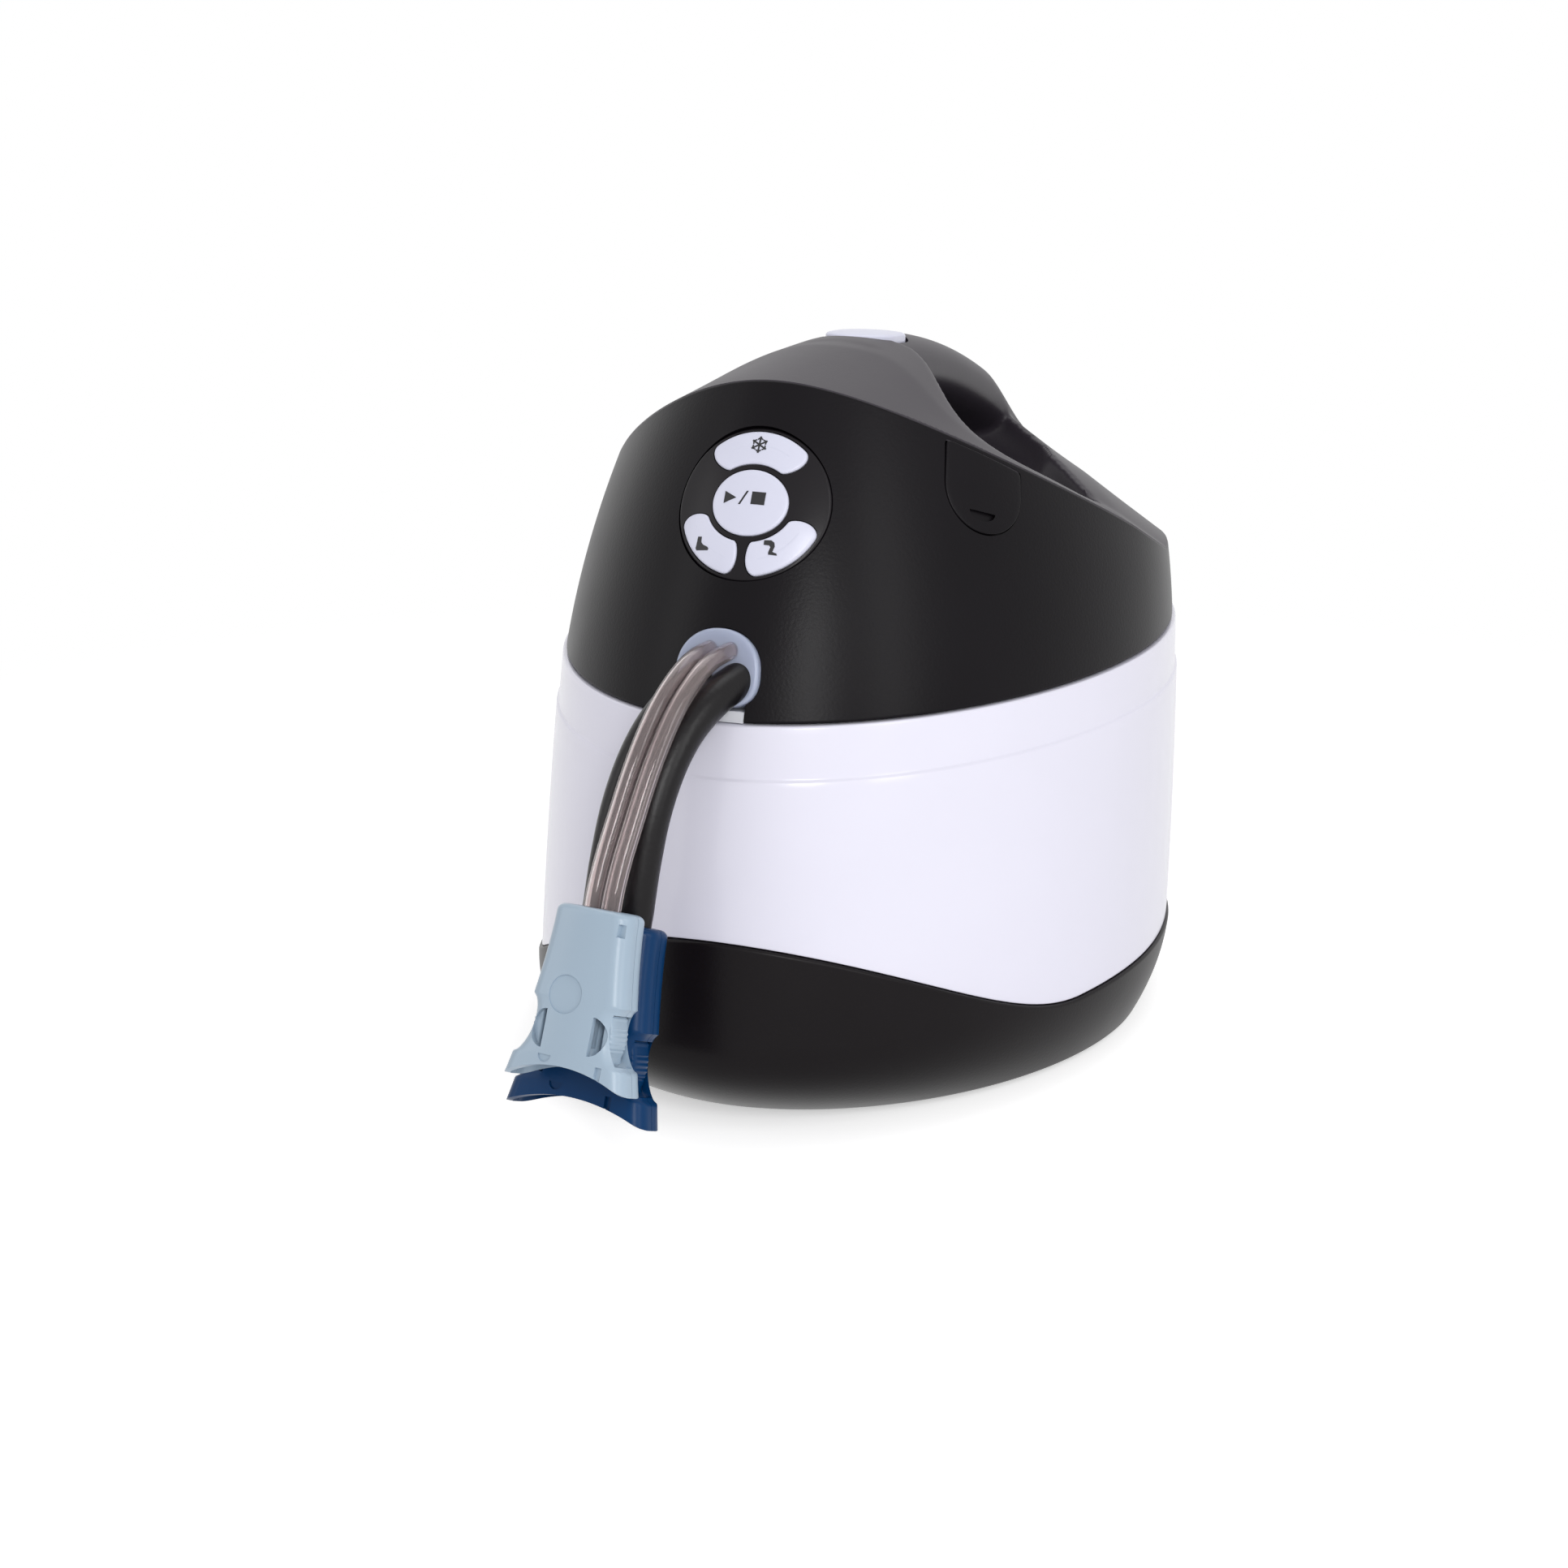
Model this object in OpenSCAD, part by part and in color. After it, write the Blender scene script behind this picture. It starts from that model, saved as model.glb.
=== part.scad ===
// Cold and compression therapy pump: an insulated tub for ice water with a lift-off pump lid,
// a carry handle over a hand bowl, a keypad, two pairs of hoses and two quick connectors.
// The front faces -Y and the floor is z = 0.

/* [Body] */
// Length of the body at the lid line
body_l = 320; // [304:1:336]
// Width of the body at the lid line
body_w = 223; // [212:1:234]
// Height of the lid line above the floor
split_h = 147; // [142:1:152]
// How much further the tub swells than the lid, at its fullest
belly = 5; // [3:0.5:7]
// How far the tub's ends draw in at the floor
base_in_l = 41; // [32:1:46]
// How far the tub's sides draw in at the floor
base_in_w = 10; // [6:1:16]
// Height of the rounding at the floor
base_round = 36; // [28:1:42]
// How far the tub leans back over its height
tub_lean = 20; // [14:1:24]

/* [Tub] */
// Wall of the outer shell
shell_t = 3; // [2:0.5:3.5]
// Thickness of the insulation and liner together
insul_t = 23; // [18:1:26]
// Wall of the liner bucket
liner_t = 2.5; // [2:0.5:3]
// Height of the liner's floor
liner_floor = 30; // [24:1:36]
// Height of the collar band below the lid line
collar_h = 18; // [12:1:22]
// Step under the collar band
collar_step = 0.8; // [0.4:0.1:1.2]
// Thickness of the base trim
trim_t = 3.2; // [2.6:0.2:4]
// How proud the trim stands of the shell
trim_proud = 1.2; // [0.6:0.2:1.6]
// Height of the trim's crest at the front
wave_front = 72; // [64:1:80]
// Height of the trim along the sides and back
wave_side = 31; // [26:1:38]
// Height of the rubber feet
foot_h = 2.5; // [2:0.5:4]
// Radius of a rubber foot
foot_r = 10; // [8:1:12]

/* [Lid] */
// Height of the housing's front edge above the lid line
crest_front = 111; // [106:1:116]
// Height of the housing's rear edge above the lid line
crest_rear = 28; // [24:1:34]
// How far the lid leans back over lid_rise
lid_lean = 25; // [20:1:30]
// How far the lid draws in over lid_rise
lid_in = 33; // [28:1:37]
// Wall of the housing
house_t = 3; // [2.5:0.5:3.5]
// Top of the handle above the lid line
handle_rise = 115.4; // [114:0.5:121]
// Width of the handle bar
bar_w = 40; // [36:1:44]
// Thickness of the handle bar
bar_t = 24; // [20:1:27]
// Floor of the hand bowl above the lid line
bowl_floor = 41; // [38:1:43]
// Wall of the hand bowl
bowl_t = 3; // [2.5:0.5:3.5]
// Plate of the inner pan
pan_t = 3; // [2.5:0.5:4]
// Depth of the pan's skirt in the tub
skirt_h = 12; // [8:1:16]

/* [Keypad] */
// Radius of the keypad disc
pad_r = 28; // [26:0.5:29.5]
// Height of the keypad's centre above the lid line
pad_z = 72; // [70:1:74]
// Half width of the round run button
run_rx = 14; // [12:0.5:15]
// Half height of the round run button
run_ry = 12; // [10:0.5:13]
// Gap round the buttons
key_gap = 2.2; // [1.8:0.2:2.8]
// How proud the buttons stand
key_proud = 0.8; // [0.4:0.1:1.2]
// Travel of a button
key_travel = 1; // [0.5:0.1:1.4]

/* [Release button] */
// Width of the release button
rel_w = 27; // [24:1:30]
// Length of the release button
rel_l = 36; // [32:1:40]
// Travel of the release button
rel_travel = 3; // [2:0.5:4]
// Travel of the latch bolt
bolt_travel = 8; // [6:0.5:9]

/* [Hoses] */
// Outer diameter of an air hose
air_d = 6.4; // [6:0.1:7]
// Outer diameter of an insulated water hose
water_d = 13; // [12:0.5:13.5]

/* [Connectors] */
// Length of a connector
plug_l = 60; // [57:1:66]
// Width of a connector's top
plug_top_w = 30; // [28:1:34]
// Width of a connector's mouth
plug_mouth_w = 49; // [46:1:54]
// Thickness of a connector
plug_t = 18; // [16.5:0.5:18]
// Wall of a connector's shell
plug_wall = 2; // [1.6:0.2:2.4]
// Swing of a latch lever
lever_swing = 5; // [3:0.5:6]

/* [Hidden] */

seg = 60;                 // points round the outer skins
fit = 0.3;                // gap between curved faces that lie together
egg = 0.046;              // how much wider the plan is behind than in front
squareness = 1.036;       // power that squares the plan's ellipse a little
lid_rise = 118;           // height over which the lid's lean and draft are given
crease_run = 1.3;         // part of the plan, front to back, over which the crease falls
crease_bend = 1.2;
rear_drop = 10;           // how far the crease falls again toward the back        // bend of the crease
mid_y = 9.3;              // how far the lid line's middle lies behind the origin

// ---------- the body's skin ----------
function bend(v) = sign(v)*pow(abs(v), squareness);

// the tub's swell and draw-in at height z, for a given draw-in at the floor
function swell(z, draw) = z < base_round
  ? belly - draw*pow(1 - max(z, 0)/base_round, 2.2)
  : 2 + (belly - 2)*(1 - pow((z - base_round)/(split_h - base_round), 2));
function lid_draw(z) = let (u = (z - split_h)/lid_rise) lid_in*(0.33*u + 0.67*u*u);
function half_l(z) = body_l/2 + (z <= split_h ? swell(z, base_in_l) : -lid_draw(z));
function half_w(z) = body_w/2 + (z <= split_h ? swell(z, base_in_w) : -1.1*lid_draw(z));
function shift(z) = mid_y + (z <= split_h
  ? tub_lean*(z - split_h)/split_h
  : lid_lean*(z - split_h)/lid_rise);

// the point of the skin at plan angle t and height z, drawn in by inset
function skin(t, z, inset = 0) =
  [(half_w(z) - inset)*(1 + egg*bend(sin(t)))*bend(cos(t)),
   shift(z) + (half_l(z) - inset)*bend(sin(t)),
   z];
function ring_angles(n) = [for (i = [0:n - 1]) 360*i/n];
function flat_ring(z, inset, n = seg) = [for (t = ring_angles(n)) skin(t, z, inset)];

// height of the housing's upper edge, falling from front to back
function crease_z(t) = let (u = min((sin(t) + 1)/crease_run, 1))
  split_h + crest_rear + (crest_front - crest_rear)*pow(1 - u, crease_bend) - rear_drop*pow(max(sin(t), 0), 2);
// height of the trim's wavy upper edge
function wave_z(t) = let (a = abs(atan2(body_w*cos(t), -body_l*sin(t))))
  wave_side + (wave_front - wave_side)*(1 + cos(180*min(a/62, 1)))/2;

function mix(a, b, u) = a + (b - a)*u;

// a solid through a list of rings; capped at both ends, or closed on itself
module loft(rings, closed = false) {
  n = len(rings[0]);
  m = len(rings);
  last = closed ? m : m - 1;
  points = [for (r = rings) each r];
  sides = [for (k = [0:last - 1], j = [0:n - 1])
    let (a = k*n + j, b = k*n + (j + 1)%n, d = ((k + 1)%m)*n + j, c = ((k + 1)%m)*n + (j + 1)%n)
    each [[a, d, c], [a, c, b]]];
  caps = closed ? [] : [[for (j = [0:n - 1]) j], [for (j = [0:n - 1]) m*n - 1 - j]];
  polyhedron(points = points, faces = concat(sides, caps), convexity = 8);
}

// ---------- tub ----------
trim_floor = foot_h + trim_t;
seam = 2*fit;             // gap round the trim, between its facets and the shell's
recess = trim_t - trim_proud + seam;
module tub_shell() {
  color([0.87, 0.87, 0.94])
    loft(concat(
      [for (u = [0, 0.06, 0.16, 0.36, 0.68, 1])
        [for (t = ring_angles(seg)) skin(t, mix(trim_floor, wave_z(t) + seam, u), recess)]],
      [for (u = [0, 0.5, 1])
        [for (t = ring_angles(seg)) skin(t, mix(wave_z(t) + seam, split_h - collar_h, u), 0)]],
      [flat_ring(split_h - collar_h + collar_step, collar_step), flat_ring(split_h, collar_step)],
      [flat_ring(split_h, collar_step + shell_t),
       flat_ring(split_h - collar_h, collar_step + shell_t),
       flat_ring(wave_front + 6, collar_step + shell_t),
       flat_ring(wave_front, recess + shell_t),
       flat_ring(base_round, recess + shell_t),
       flat_ring(mix(trim_floor, base_round, 0.4), recess + shell_t),
       flat_ring(trim_floor + shell_t, recess + shell_t)]));
}

core_in = recess + shell_t + fit;
foam_floor = trim_floor + shell_t;
flange_t = 3;
rim_z = split_h - flange_t;
module insulation_foam() {
  color([0.93, 0.90, 0.78])
    loft([flat_ring(foam_floor, core_in), flat_ring(mix(trim_floor, base_round, 0.4), core_in),
      flat_ring(base_round, core_in), flat_ring(rim_z - fit, core_in),
      flat_ring(rim_z - fit, core_in + insul_t - liner_t - fit),
      flat_ring(base_round, core_in + insul_t - liner_t - fit),
      flat_ring(liner_floor - liner_t - fit, core_in + insul_t - liner_t + 8)]);
}

liner_in = core_in + insul_t;
module tub_liner() {
  color([0.93, 0.94, 0.97])
    loft([flat_ring(liner_floor - liner_t, liner_in - liner_t + 8),
      flat_ring(base_round, liner_in - liner_t), flat_ring(rim_z, liner_in - liner_t),
      flat_ring(rim_z, core_in), flat_ring(split_h, core_in), flat_ring(split_h, liner_in),
      flat_ring(base_round, liner_in), flat_ring(liner_floor, liner_in + 8)]);
}

foot_pin_r = 2.4;
function foot_place(i) = [[-1, 1][i%2]*64, mid_y + (i < 2 ? -92 : 62)];
module base_trim() {
  color([0.10, 0.08, 0.10])
    difference() {
      loft(concat(
        [for (u = [0, 0.05, 0.14, 0.3, 0.55, 0.8, 1])
          [for (t = ring_angles(seg)) skin(t, mix(foot_h, wave_z(t), u), -trim_proud)]],
        [for (u = [1, 0.68, 0.36, 0.16, 0.06, 0])
          [for (t = ring_angles(seg)) skin(t, mix(trim_floor, wave_z(t), u), trim_t - trim_proud)]]));
      for (i = [0:3])
        translate([foot_place(i)[0], foot_place(i)[1], 0]) cylinder(h = 12, r = foot_pin_r + 0.05, $fn = 32);
    }
}

module rubber_foot(i) {
  color([0.16, 0.16, 0.17])
    translate([foot_place(i)[0], foot_place(i)[1], 0]) {
      cylinder(h = foot_h, r = foot_r, $fn = 48);
      cylinder(h = trim_floor, r = foot_pin_r, $fn = 32);
    }
}

// the keeper stands on the liner's rim and holds the nose of the latch bolt between two cheeks
keeper_y = mid_y + body_l/2 - 21;
keeper_w = 24;
keeper_d = 8;
bolt_w = 10;
pan_z = split_h + 0.4;
pan_top = pan_z + pan_t;
module latch_keeper() {
  color([0.75, 0.76, 0.78])
    difference() {
      translate([-keeper_w/2, keeper_y, split_h]) cube([keeper_w, keeper_d, 11]);
      translate([-bolt_w/2 - fit, keeper_y - 1, pan_top]) cube([bolt_w + 2*fit, keeper_d + 2, 12]);
    }
}

// ---------- lid ----------
lid_gap = 0.4;
lid_z = split_h + lid_gap;
function wall_rings(inset, us) = [for (u = us)
  [for (t = ring_angles(seg)) skin(t, mix(lid_z, crease_z(t), u), inset)]];

// keypad frame: u to the right, v up the skin, n out of it
pad_at = skin(-90, split_h + pad_z);
pad_tilt = 28;
pad_round = 62;           // radius of the skin across the keypad
pad_bow = 190;            // radius of the skin up the keypad
module pad_frame() {
  translate(pad_at) rotate([90 - pad_tilt, 0, 0]) children();
}
// a barrel-shaped solid whose surface lies out mm outside the keypad's skin
module pad_barrel(out) {
  pts = [for (v = [-36:6:36]) [pad_round + out - v*v/2/pad_bow, v]];
  translate([0, 0, -pad_round]) rotate([-90, 0, 0]) rotate_extrude($fn = 96)
    polygon(concat([[0, -36]], pts, [[0, 36]]));
}
module pad_layer(out, deep) {
  intersection() {
    difference() {
      pad_barrel(out);
      pad_barrel(-deep);
    }
    translate([0, 0, -24]) linear_extrude(24 + 6) children();
  }
}
function ellipse(rx, ry, n = 48) = [for (i = [0:n - 1]) [rx*cos(360*i/n), ry*sin(360*i/n)]];
// a petal between the run button and the disc's edge, from angle a0 to a1, with round ends
petal_out = pad_r - 1.6;
function key_hole(a) = 1/sqrt(pow(cos(a)/(run_rx + key_gap), 2) + pow(sin(a)/(run_ry + key_gap), 2));
function petal_edge(a0, a1, s, grow) = [for (i = [0:16])
  let (a = mix(a0, a1, s > 0 ? i/16 : 1 - i/16), e = 9,
    d = min(a - a0, a1 - a)/e, h = d < 1 ? sqrt(1 - (1 - d)*(1 - d)) : 1,
    mid = (petal_out + key_hole(a))/2, half = (petal_out - key_hole(a))/2*max(h, 0.12) + grow,
    w = grow/petal_out*57*(i < 8 ? -1 : 1)*(abs(i - 8)/8))
  (mid + s*half)*[cos(a + s*w), sin(a + s*w)]];
module petal(a0, a1, grow = 0) {
  polygon(concat(petal_edge(a0, a1, 1, grow), petal_edge(a0, a1, -1, grow)));
}
cold_half = 47;           // half the angle that the upper petal spans
side_gap = 10;            // angle between the two lower petals
side_end = 77;            // how far round a lower petal reaches from straight down
cold_span = [90 - cold_half, 90 + cold_half];
left_span = [270 - side_end, 270 - side_gap/2];
right_span = [270 + side_gap/2, 270 + side_end];
key_clear = 0.25;
module key_shapes(grow) {
  polygon(ellipse(run_rx + grow, run_ry + grow));
  petal(cold_span[0], cold_span[1], grow);
  petal(left_span[0], left_span[1], grow);
  petal(right_span[0], right_span[1], grow);
}
module keypad_panel() {
  color([0.07, 0.06, 0.08])
    pad_frame() difference() {
      pad_layer(0, house_t) circle(r = pad_r, $fn = 96);
      translate([0, 0, -24]) linear_extrude(40) key_shapes(key_clear);
    }
}
module key_cap() {
  color([0.86, 0.87, 0.93]) pad_frame() pad_layer(key_proud, house_t - 0.4) children();
}
module button_run() { key_cap() polygon(ellipse(run_rx, run_ry)); }
module button_cold() { key_cap() petal(cold_span[0], cold_span[1]); }
module button_left() { key_cap() petal(left_span[0], left_span[1]); }
module button_right() { key_cap() petal(right_span[0], right_span[1]); }

board_drop = pad_r*pad_r/2/pad_round + pad_r*pad_r/2/pad_bow + house_t;
module keypad_board() {
  color([0.10, 0.35, 0.20])
    pad_frame() {
      translate([0, 0, -board_drop - 2.2 - key_travel]) cylinder(h = 1.6, r = pad_r - 3, $fn = 64);
      for (a = [30:120:270])
        let (x = (pad_r - 4.5)*cos(a), y = (pad_r - 4.5)*sin(a), z = -board_drop - 0.7 - key_travel)
          translate([x, y, z]) cylinder(h = -house_t - 2.5*fit - x*x/2/pad_round - y*y/2/pad_bow - z, r = 1.2, $fn = 24);
    }
}

// hose mouth: a rounded arch of soft rubber over a slot that is open at the lid line
grom_x = -2.5;            // the mouth sits a little to the left
grom_z = 18;              // height of its centre above the lid line
grom_tilt = 18;           // lean of the skin there
grom_in = 6;              // depth of the rubber behind the skin
grom_out = 1.5;           // how proud the rubber stands
slot_w = 23;              // width of the slot under it
grom_at = skin(-90, split_h + grom_z);
mouth = [grom_x, skin(-90, split_h + 17.5)[1], split_h + 13.5];
air_gap = 7.6;             // spacing of the two air hoses
water_gap = 13.7;         // spacing of the two water hoses
plug_turn = [-20, 0, -10];
// routes of the middle of each pair of hoses, from the lower passages' mouth to a connector
air_route = [[0.8, 4, 10.7], [0, 0, 10.6], [-1.6, -7.5, 9.8], [-3.1, -15, 7.4], [-4.6, -22.3, 3.4],
  [-6.1, -29.4, -1.9], [-7.6, -36, -8.7], [-9, -42, -16.3], [-10.4, -47.2, -24.4], [-11.6, -51.8, -32.4],
  [-12.7, -56, -40], [-13.7, -59.8, -47], [-14.5, -62.8, -53.4], [-15.1, -65.3, -59.3]];
water_route = [[1.2, 4, 1], [0, 0, 0], [-1.9, -6.3, -1.7], [-4, -12.6, -4.3], [-6.3, -18.9, -8],
  [-8.5, -24.8, -12.8], [-10.5, -30.2, -19], [-12.2, -34.8, -26], [-13.6, -38.6, -33.5],
  [-14.7, -41.6, -41], [-15.6, -44, -49], [-16.4, -46.1, -57], [-17, -47.6, -64], [-17.5, -48.8, -70]];
// turn from straight down to the way v points
function turn_to(v) = [-acos(-v[2]/norm(v)), 0, atan2(v[0], -v[1])];
air_exit = turn_to(air_route[1] - air_route[0]);
water_exit = turn_to(water_route[1] - water_route[0]);
air_plug_at = mouth + [-15.5, -67, -64.5];
water_plug_at = mouth + [-18, -50, -74.5];
block_top = -11;          // where the hoses end inside a connector
hose_fit = 0.2;

// outline of the hose mouth: a rounded arch, widest low down
arch_w = 15.3;            // half its width in the middle
arch_taper = 2;           // how much the half width changes up or down
arch_h = 13.6;
arch_up = 0.4;
module arch(grow) {
  polygon([for (i = [0:71]) let (c = cos(5*i), s = sin(5*i))
    [(arch_w - arch_taper*s + grow)*sign(c)*pow(abs(c), 0.75 + 0.15*s),
      arch_up + (arch_h + grow)*sign(s)*pow(abs(s), 0.85)]]);
}
module front_frame() {
  translate([grom_x, grom_at[1], grom_at[2]]) rotate([90 - grom_tilt, 0, 0]) children();
}
// the sideways place of one hose of a pair at share u of the route
function aside(turn, gap, s, u) = let (a = mix(turn[2], plug_turn[2], u)) s*gap/2*[cos(a), sin(a), 0];
// a socket for a hose's end, with a narrower way on through the rubber
module passage(route, turn, gap, s, r) {
  translate(mouth + route[0] + aside(turn, gap, s, 0)) rotate(turn) {
    translate([0, 0, -44]) cylinder(h = 44.1, r = r + hose_fit, $fn = 48);
    cylinder(h = 12, r = r*0.55, $fn = 32);
  }
}
module hose_grommet() {
  color([0.80, 0.86, 0.93])
    difference() {
      front_frame() translate([0, 0, -grom_in]) linear_extrude(grom_in + grom_out) arch(0);
      for (s = [-1, 1]) {
        passage(air_route, air_exit, air_gap, s, air_d/2);
        passage(water_route, water_exit, water_gap, s, water_d/2);
      }
    }
}
// direction of a turned down-pointing line
function down(turn) = [-sin(turn[0])*sin(turn[2]), sin(turn[0])*cos(turn[2]), -cos(turn[0])];
function unit(v) = v/norm(v);
function tube_path(route, plug_at, turn, gap, s) = let (n = len(route) + 1) concat(
  [for (i = [0:n - 2]) mouth + route[i] + aside(turn, gap, s, i/n)],
  [plug_at + aside(turn, gap, s, 1), plug_at - block_top*down(plug_turn) + aside(turn, gap, s, 1)]);
module tube(path, r) {
  n = len(path);
  loft([for (i = [0:n - 1])
    let (t = unit(path[min(i + 1, n - 1)] - path[max(i - 1, 0)]), u = unit(cross([1, 0, 0], t)), v = cross(t, u))
    [for (k = [0:11]) path[i] + r*(u*cos(30*k) + v*sin(30*k))]]);
}
module air_hose(s) {
  color([0.72, 0.68, 0.66]) tube(tube_path(air_route, air_plug_at, air_exit, air_gap, s), air_d/2);
}
module water_hose(s) {
  color([0.10, 0.10, 0.10]) tube(tube_path(water_route, water_plug_at, water_exit, water_gap, s), water_d/2);
}

// port recess and its cover on the right side
port_t = -40.5;
port_at = skin(port_t, split_h + 74);
port_turn = 59.5;         // turn of the port's normal from straight ahead
port_tilt = 23.5;
port_roll = -20;          // the port leans with the housing's upper edge
port_w = 34;
port_top = 10;            // height of the cover's upper edge over the port's middle
port_fall = 2.5;          // how far that edge falls to each side's end
port_slope = -atan(2*port_fall/port_w);
module port_frame() {
  translate(port_at) rotate([0, 0, port_turn]) rotate([90 - port_tilt, 0, 0]) children();
}
module port_outline(grow) rotate(port_roll) {
  w = port_w/2 + grow;
  polygon(concat([for (a = [180:5:360]) [w*cos(a), w*sin(a) - 2]],
    [[w, port_top - port_fall + grow], [-w, port_top + port_fall + grow]]));
}
port_round = 130;         // radius of the skin across the port
port_deep = 2;            // depth of the port's recess
knuckle_r = 1.1;
hinge_v = port_top - knuckle_r - 0.1;
module port_layer(out, deep) {
  intersection() {
    translate([0, -60, -port_round]) rotate([-90, 0, 0]) difference() {
      cylinder(h = 120, r = port_round + out, $fn = 180);
      translate([0, 0, -1]) cylinder(h = 122, r = port_round - deep, $fn = 180);
    }
    translate([0, 0, -10]) linear_extrude(out + 12) children();
  }
}
jack_r = 6.5;
module lid_housing() {
  color([0.09, 0.08, 0.10])
    difference() {
      loft(concat(wall_rings(0, [0, 0.25, 0.5, 0.75, 1]), wall_rings(house_t, [1, 0.75, 0.5, 0.25, 0])),
        closed = true);
      pad_frame() translate([0, 0, -20]) cylinder(h = 40, r = pad_r + fit, $fn = 96);
      front_frame() translate([0, 0, -16]) linear_extrude(30) {
        arch(0.2);
        translate([-slot_w/2, -30]) square([slot_w, 28]);
      }
      port_frame() port_layer(12, port_deep) port_outline(0.5);
      port_frame() translate([0, -2, -14]) cylinder(h = 30, r = jack_r + 0.1, $fn = 48);
    }
}
module port_cover() {
  color([0.08, 0.07, 0.09])
    port_frame() difference() {
      union() {
        port_layer(0.6, 1.4) port_outline(0);
        translate([0, -2, -2.7]) cylinder(h = 2, r = 2.8, $fn = 32);
        rotate([0, 0, port_roll]) translate([0, hinge_v, -0.3]) rotate([0, 0, port_slope]) rotate([0, 90, 0])
          cylinder(h = 12, r = knuckle_r, center = true, $fn = 32);
      }
      rotate([0, 0, port_roll]) translate([-1, -11.5, 0]) rotate([25, 0, 0]) cylinder(h = 4, r = 5, $fn = 40);
    }
}
module dc_jack() {
  color([0.15, 0.15, 0.17])
    port_frame() translate([0, -2, 0]) difference() {
      union() {
        translate([0, 0, -13]) cylinder(h = 10, r = jack_r, $fn = 48);
        translate([-7, -7, -14]) cube([14, 14, 7]);
      }
      translate([0, 0, -12]) cylinder(h = 14, r = 4, $fn = 40);
    }
}

// top cover: hood, rim, hand bowl and handle bar
bar_front = mid_y - 66;
bar_back = mid_y + 128;
hood_deep = 78;           // how far the hood runs back over the front, along the middle
rim_in = 5.5;             // width of the rim along the sides
dome_in = 41;             // how much further the rim lies in at the back
side_w = 104;             // half width and half length of the crease about its widest place
side_l = 153;
function ease(u) = let (v = max(0, min(1, u))) v*v*(3 - 2*v);
// height of the handle's top along the middle
function ridge_z(y) = let (d = y - mid_y + 36)
  split_h + handle_rise - (d < 0 ? 0.0025*d*d : 0.00176*d*d*(1 - 0.00075*d));
// the bowl's rim: under the hood in front, along the crease at the sides, high on the dome behind;
// share draws it back toward the front edge
function rim_point(t, share = 1) = let (s = sin(t), edge = crease_z(t),
    front = s < 0 ? ease((0.88 - abs(cos(t)))/0.62) : 0,
    shift = s < 0 ? (4*ease(-s/0.3) + hood_deep*front)*share : 0,
    p = skin(t, edge, rim_in + dome_in*ease((s + 0.09)/0.69)) + [0, shift, 0],
    top = ridge_z(p[1]),
    wide = side_w*sqrt(1 - pow((p[1] - mid_y - 9)/side_l, 2)),
    hood = mix(edge + 1.5, top - 0.0088*p[0]*p[0], front),
    dome = mix(top - 0.5, edge, min(abs(p[0])/wide, 1)))
  [p[0], p[1], mix(hood, dome, ease((s + 0.3)/0.3))];
function band_ring(u, lift) = [for (t = ring_angles(seg))
  let (a = skin(t, crease_z(t) + fit), b = rim_point(t), far = norm(b - a))
  mix(a, b, u) + [0, 0, lift*far]];
floor_z = split_h + bowl_floor;
// outline of the bowl's flat floor
function floor_point(t, k = 1) = [52*k*cos(t), mid_y + 41 + 38*k*sin(t)];
// a ring of the bowl's wall, in from the rim and part of the way down to the floor
function bowl_ring(in, low, drop) = [for (t = ring_angles(seg))
  let (p = rim_point(t), q = floor_point(t), far = norm(q - [p[0], p[1]]),
    u = min(in*(1 + 1.5*max(sin(t), 0))/far, 1))
  [mix(p[0], q[0], u), mix(p[1], q[1], u), mix(p[2], floor_z, low) - drop]];
function flat_bowl(k, z) = [for (t = ring_angles(seg)) concat(floor_point(t, k), [z])];
function bar_ring(y, k) = [for (i = [0:23])
  let (a = 360*i/24, c = cos(a), s = sin(a), w = bar_w/2*k, h = bar_t/2*k)
  [-w*sign(c)*pow(abs(c), 0.85), y, ridge_z(y) - bar_t/2 + h*sign(s)*pow(abs(s), 0.95)]];
module handle_bar() {
  loft([for (i = [0:18]) let (u = i/18) bar_ring(mix(bar_front, bar_back, u),
    (i == 0 || i == 18) ? 0.6 : (i == 1 || i == 17) ? 0.9 : 1)]);
}
rel_y = mid_y - 8;
rel_z = ridge_z(rel_y);
pocket_d = 9;
module stadium(w, l) {
  translate([0, (l - w)/2]) circle(r = w/2, $fn = 64);
  translate([0, -(l - w)/2]) circle(r = w/2, $fn = 64);
  translate([-w/2, -(l - w)/2]) square([w, l - w]);
}
module top_cover() {
  color([0.17, 0.16, 0.17])
    difference() {
      union() {
        loft([flat_bowl(0.6, floor_z - bowl_t), flat_bowl(1, floor_z - bowl_t), bowl_ring(5, 1, bowl_t + 0.2),
          [for (t = ring_angles(seg)) rim_point(t, 0.95) - [0, 0, 9]],
          [for (t = ring_angles(seg)) skin(t, crease_z(t) - 2.5, house_t + 0.6)],
          [for (t = ring_angles(seg)) skin(t, crease_z(t) + fit, house_t + 0.6)],
          band_ring(0, 0), band_ring(0.35, 0.01), band_ring(0.65, 0.02), band_ring(1, 0),
          bowl_ring(0.6, 0.06, 0), bowl_ring(2.5, 0.5, 0), bowl_ring(6, 0.85, 0), bowl_ring(12, 1, 0),
          flat_bowl(1, floor_z), flat_bowl(0.6, floor_z)]);
        handle_bar();
      }
      translate([0, rel_y, rel_z - pocket_d]) linear_extrude(30) stadium(rel_w + 2*fit, rel_l + 2*fit);
      translate([0, rel_y, rel_z - pocket_d - 5]) cylinder(h = 10, r = 4, $fn = 32);
    }
}
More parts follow.
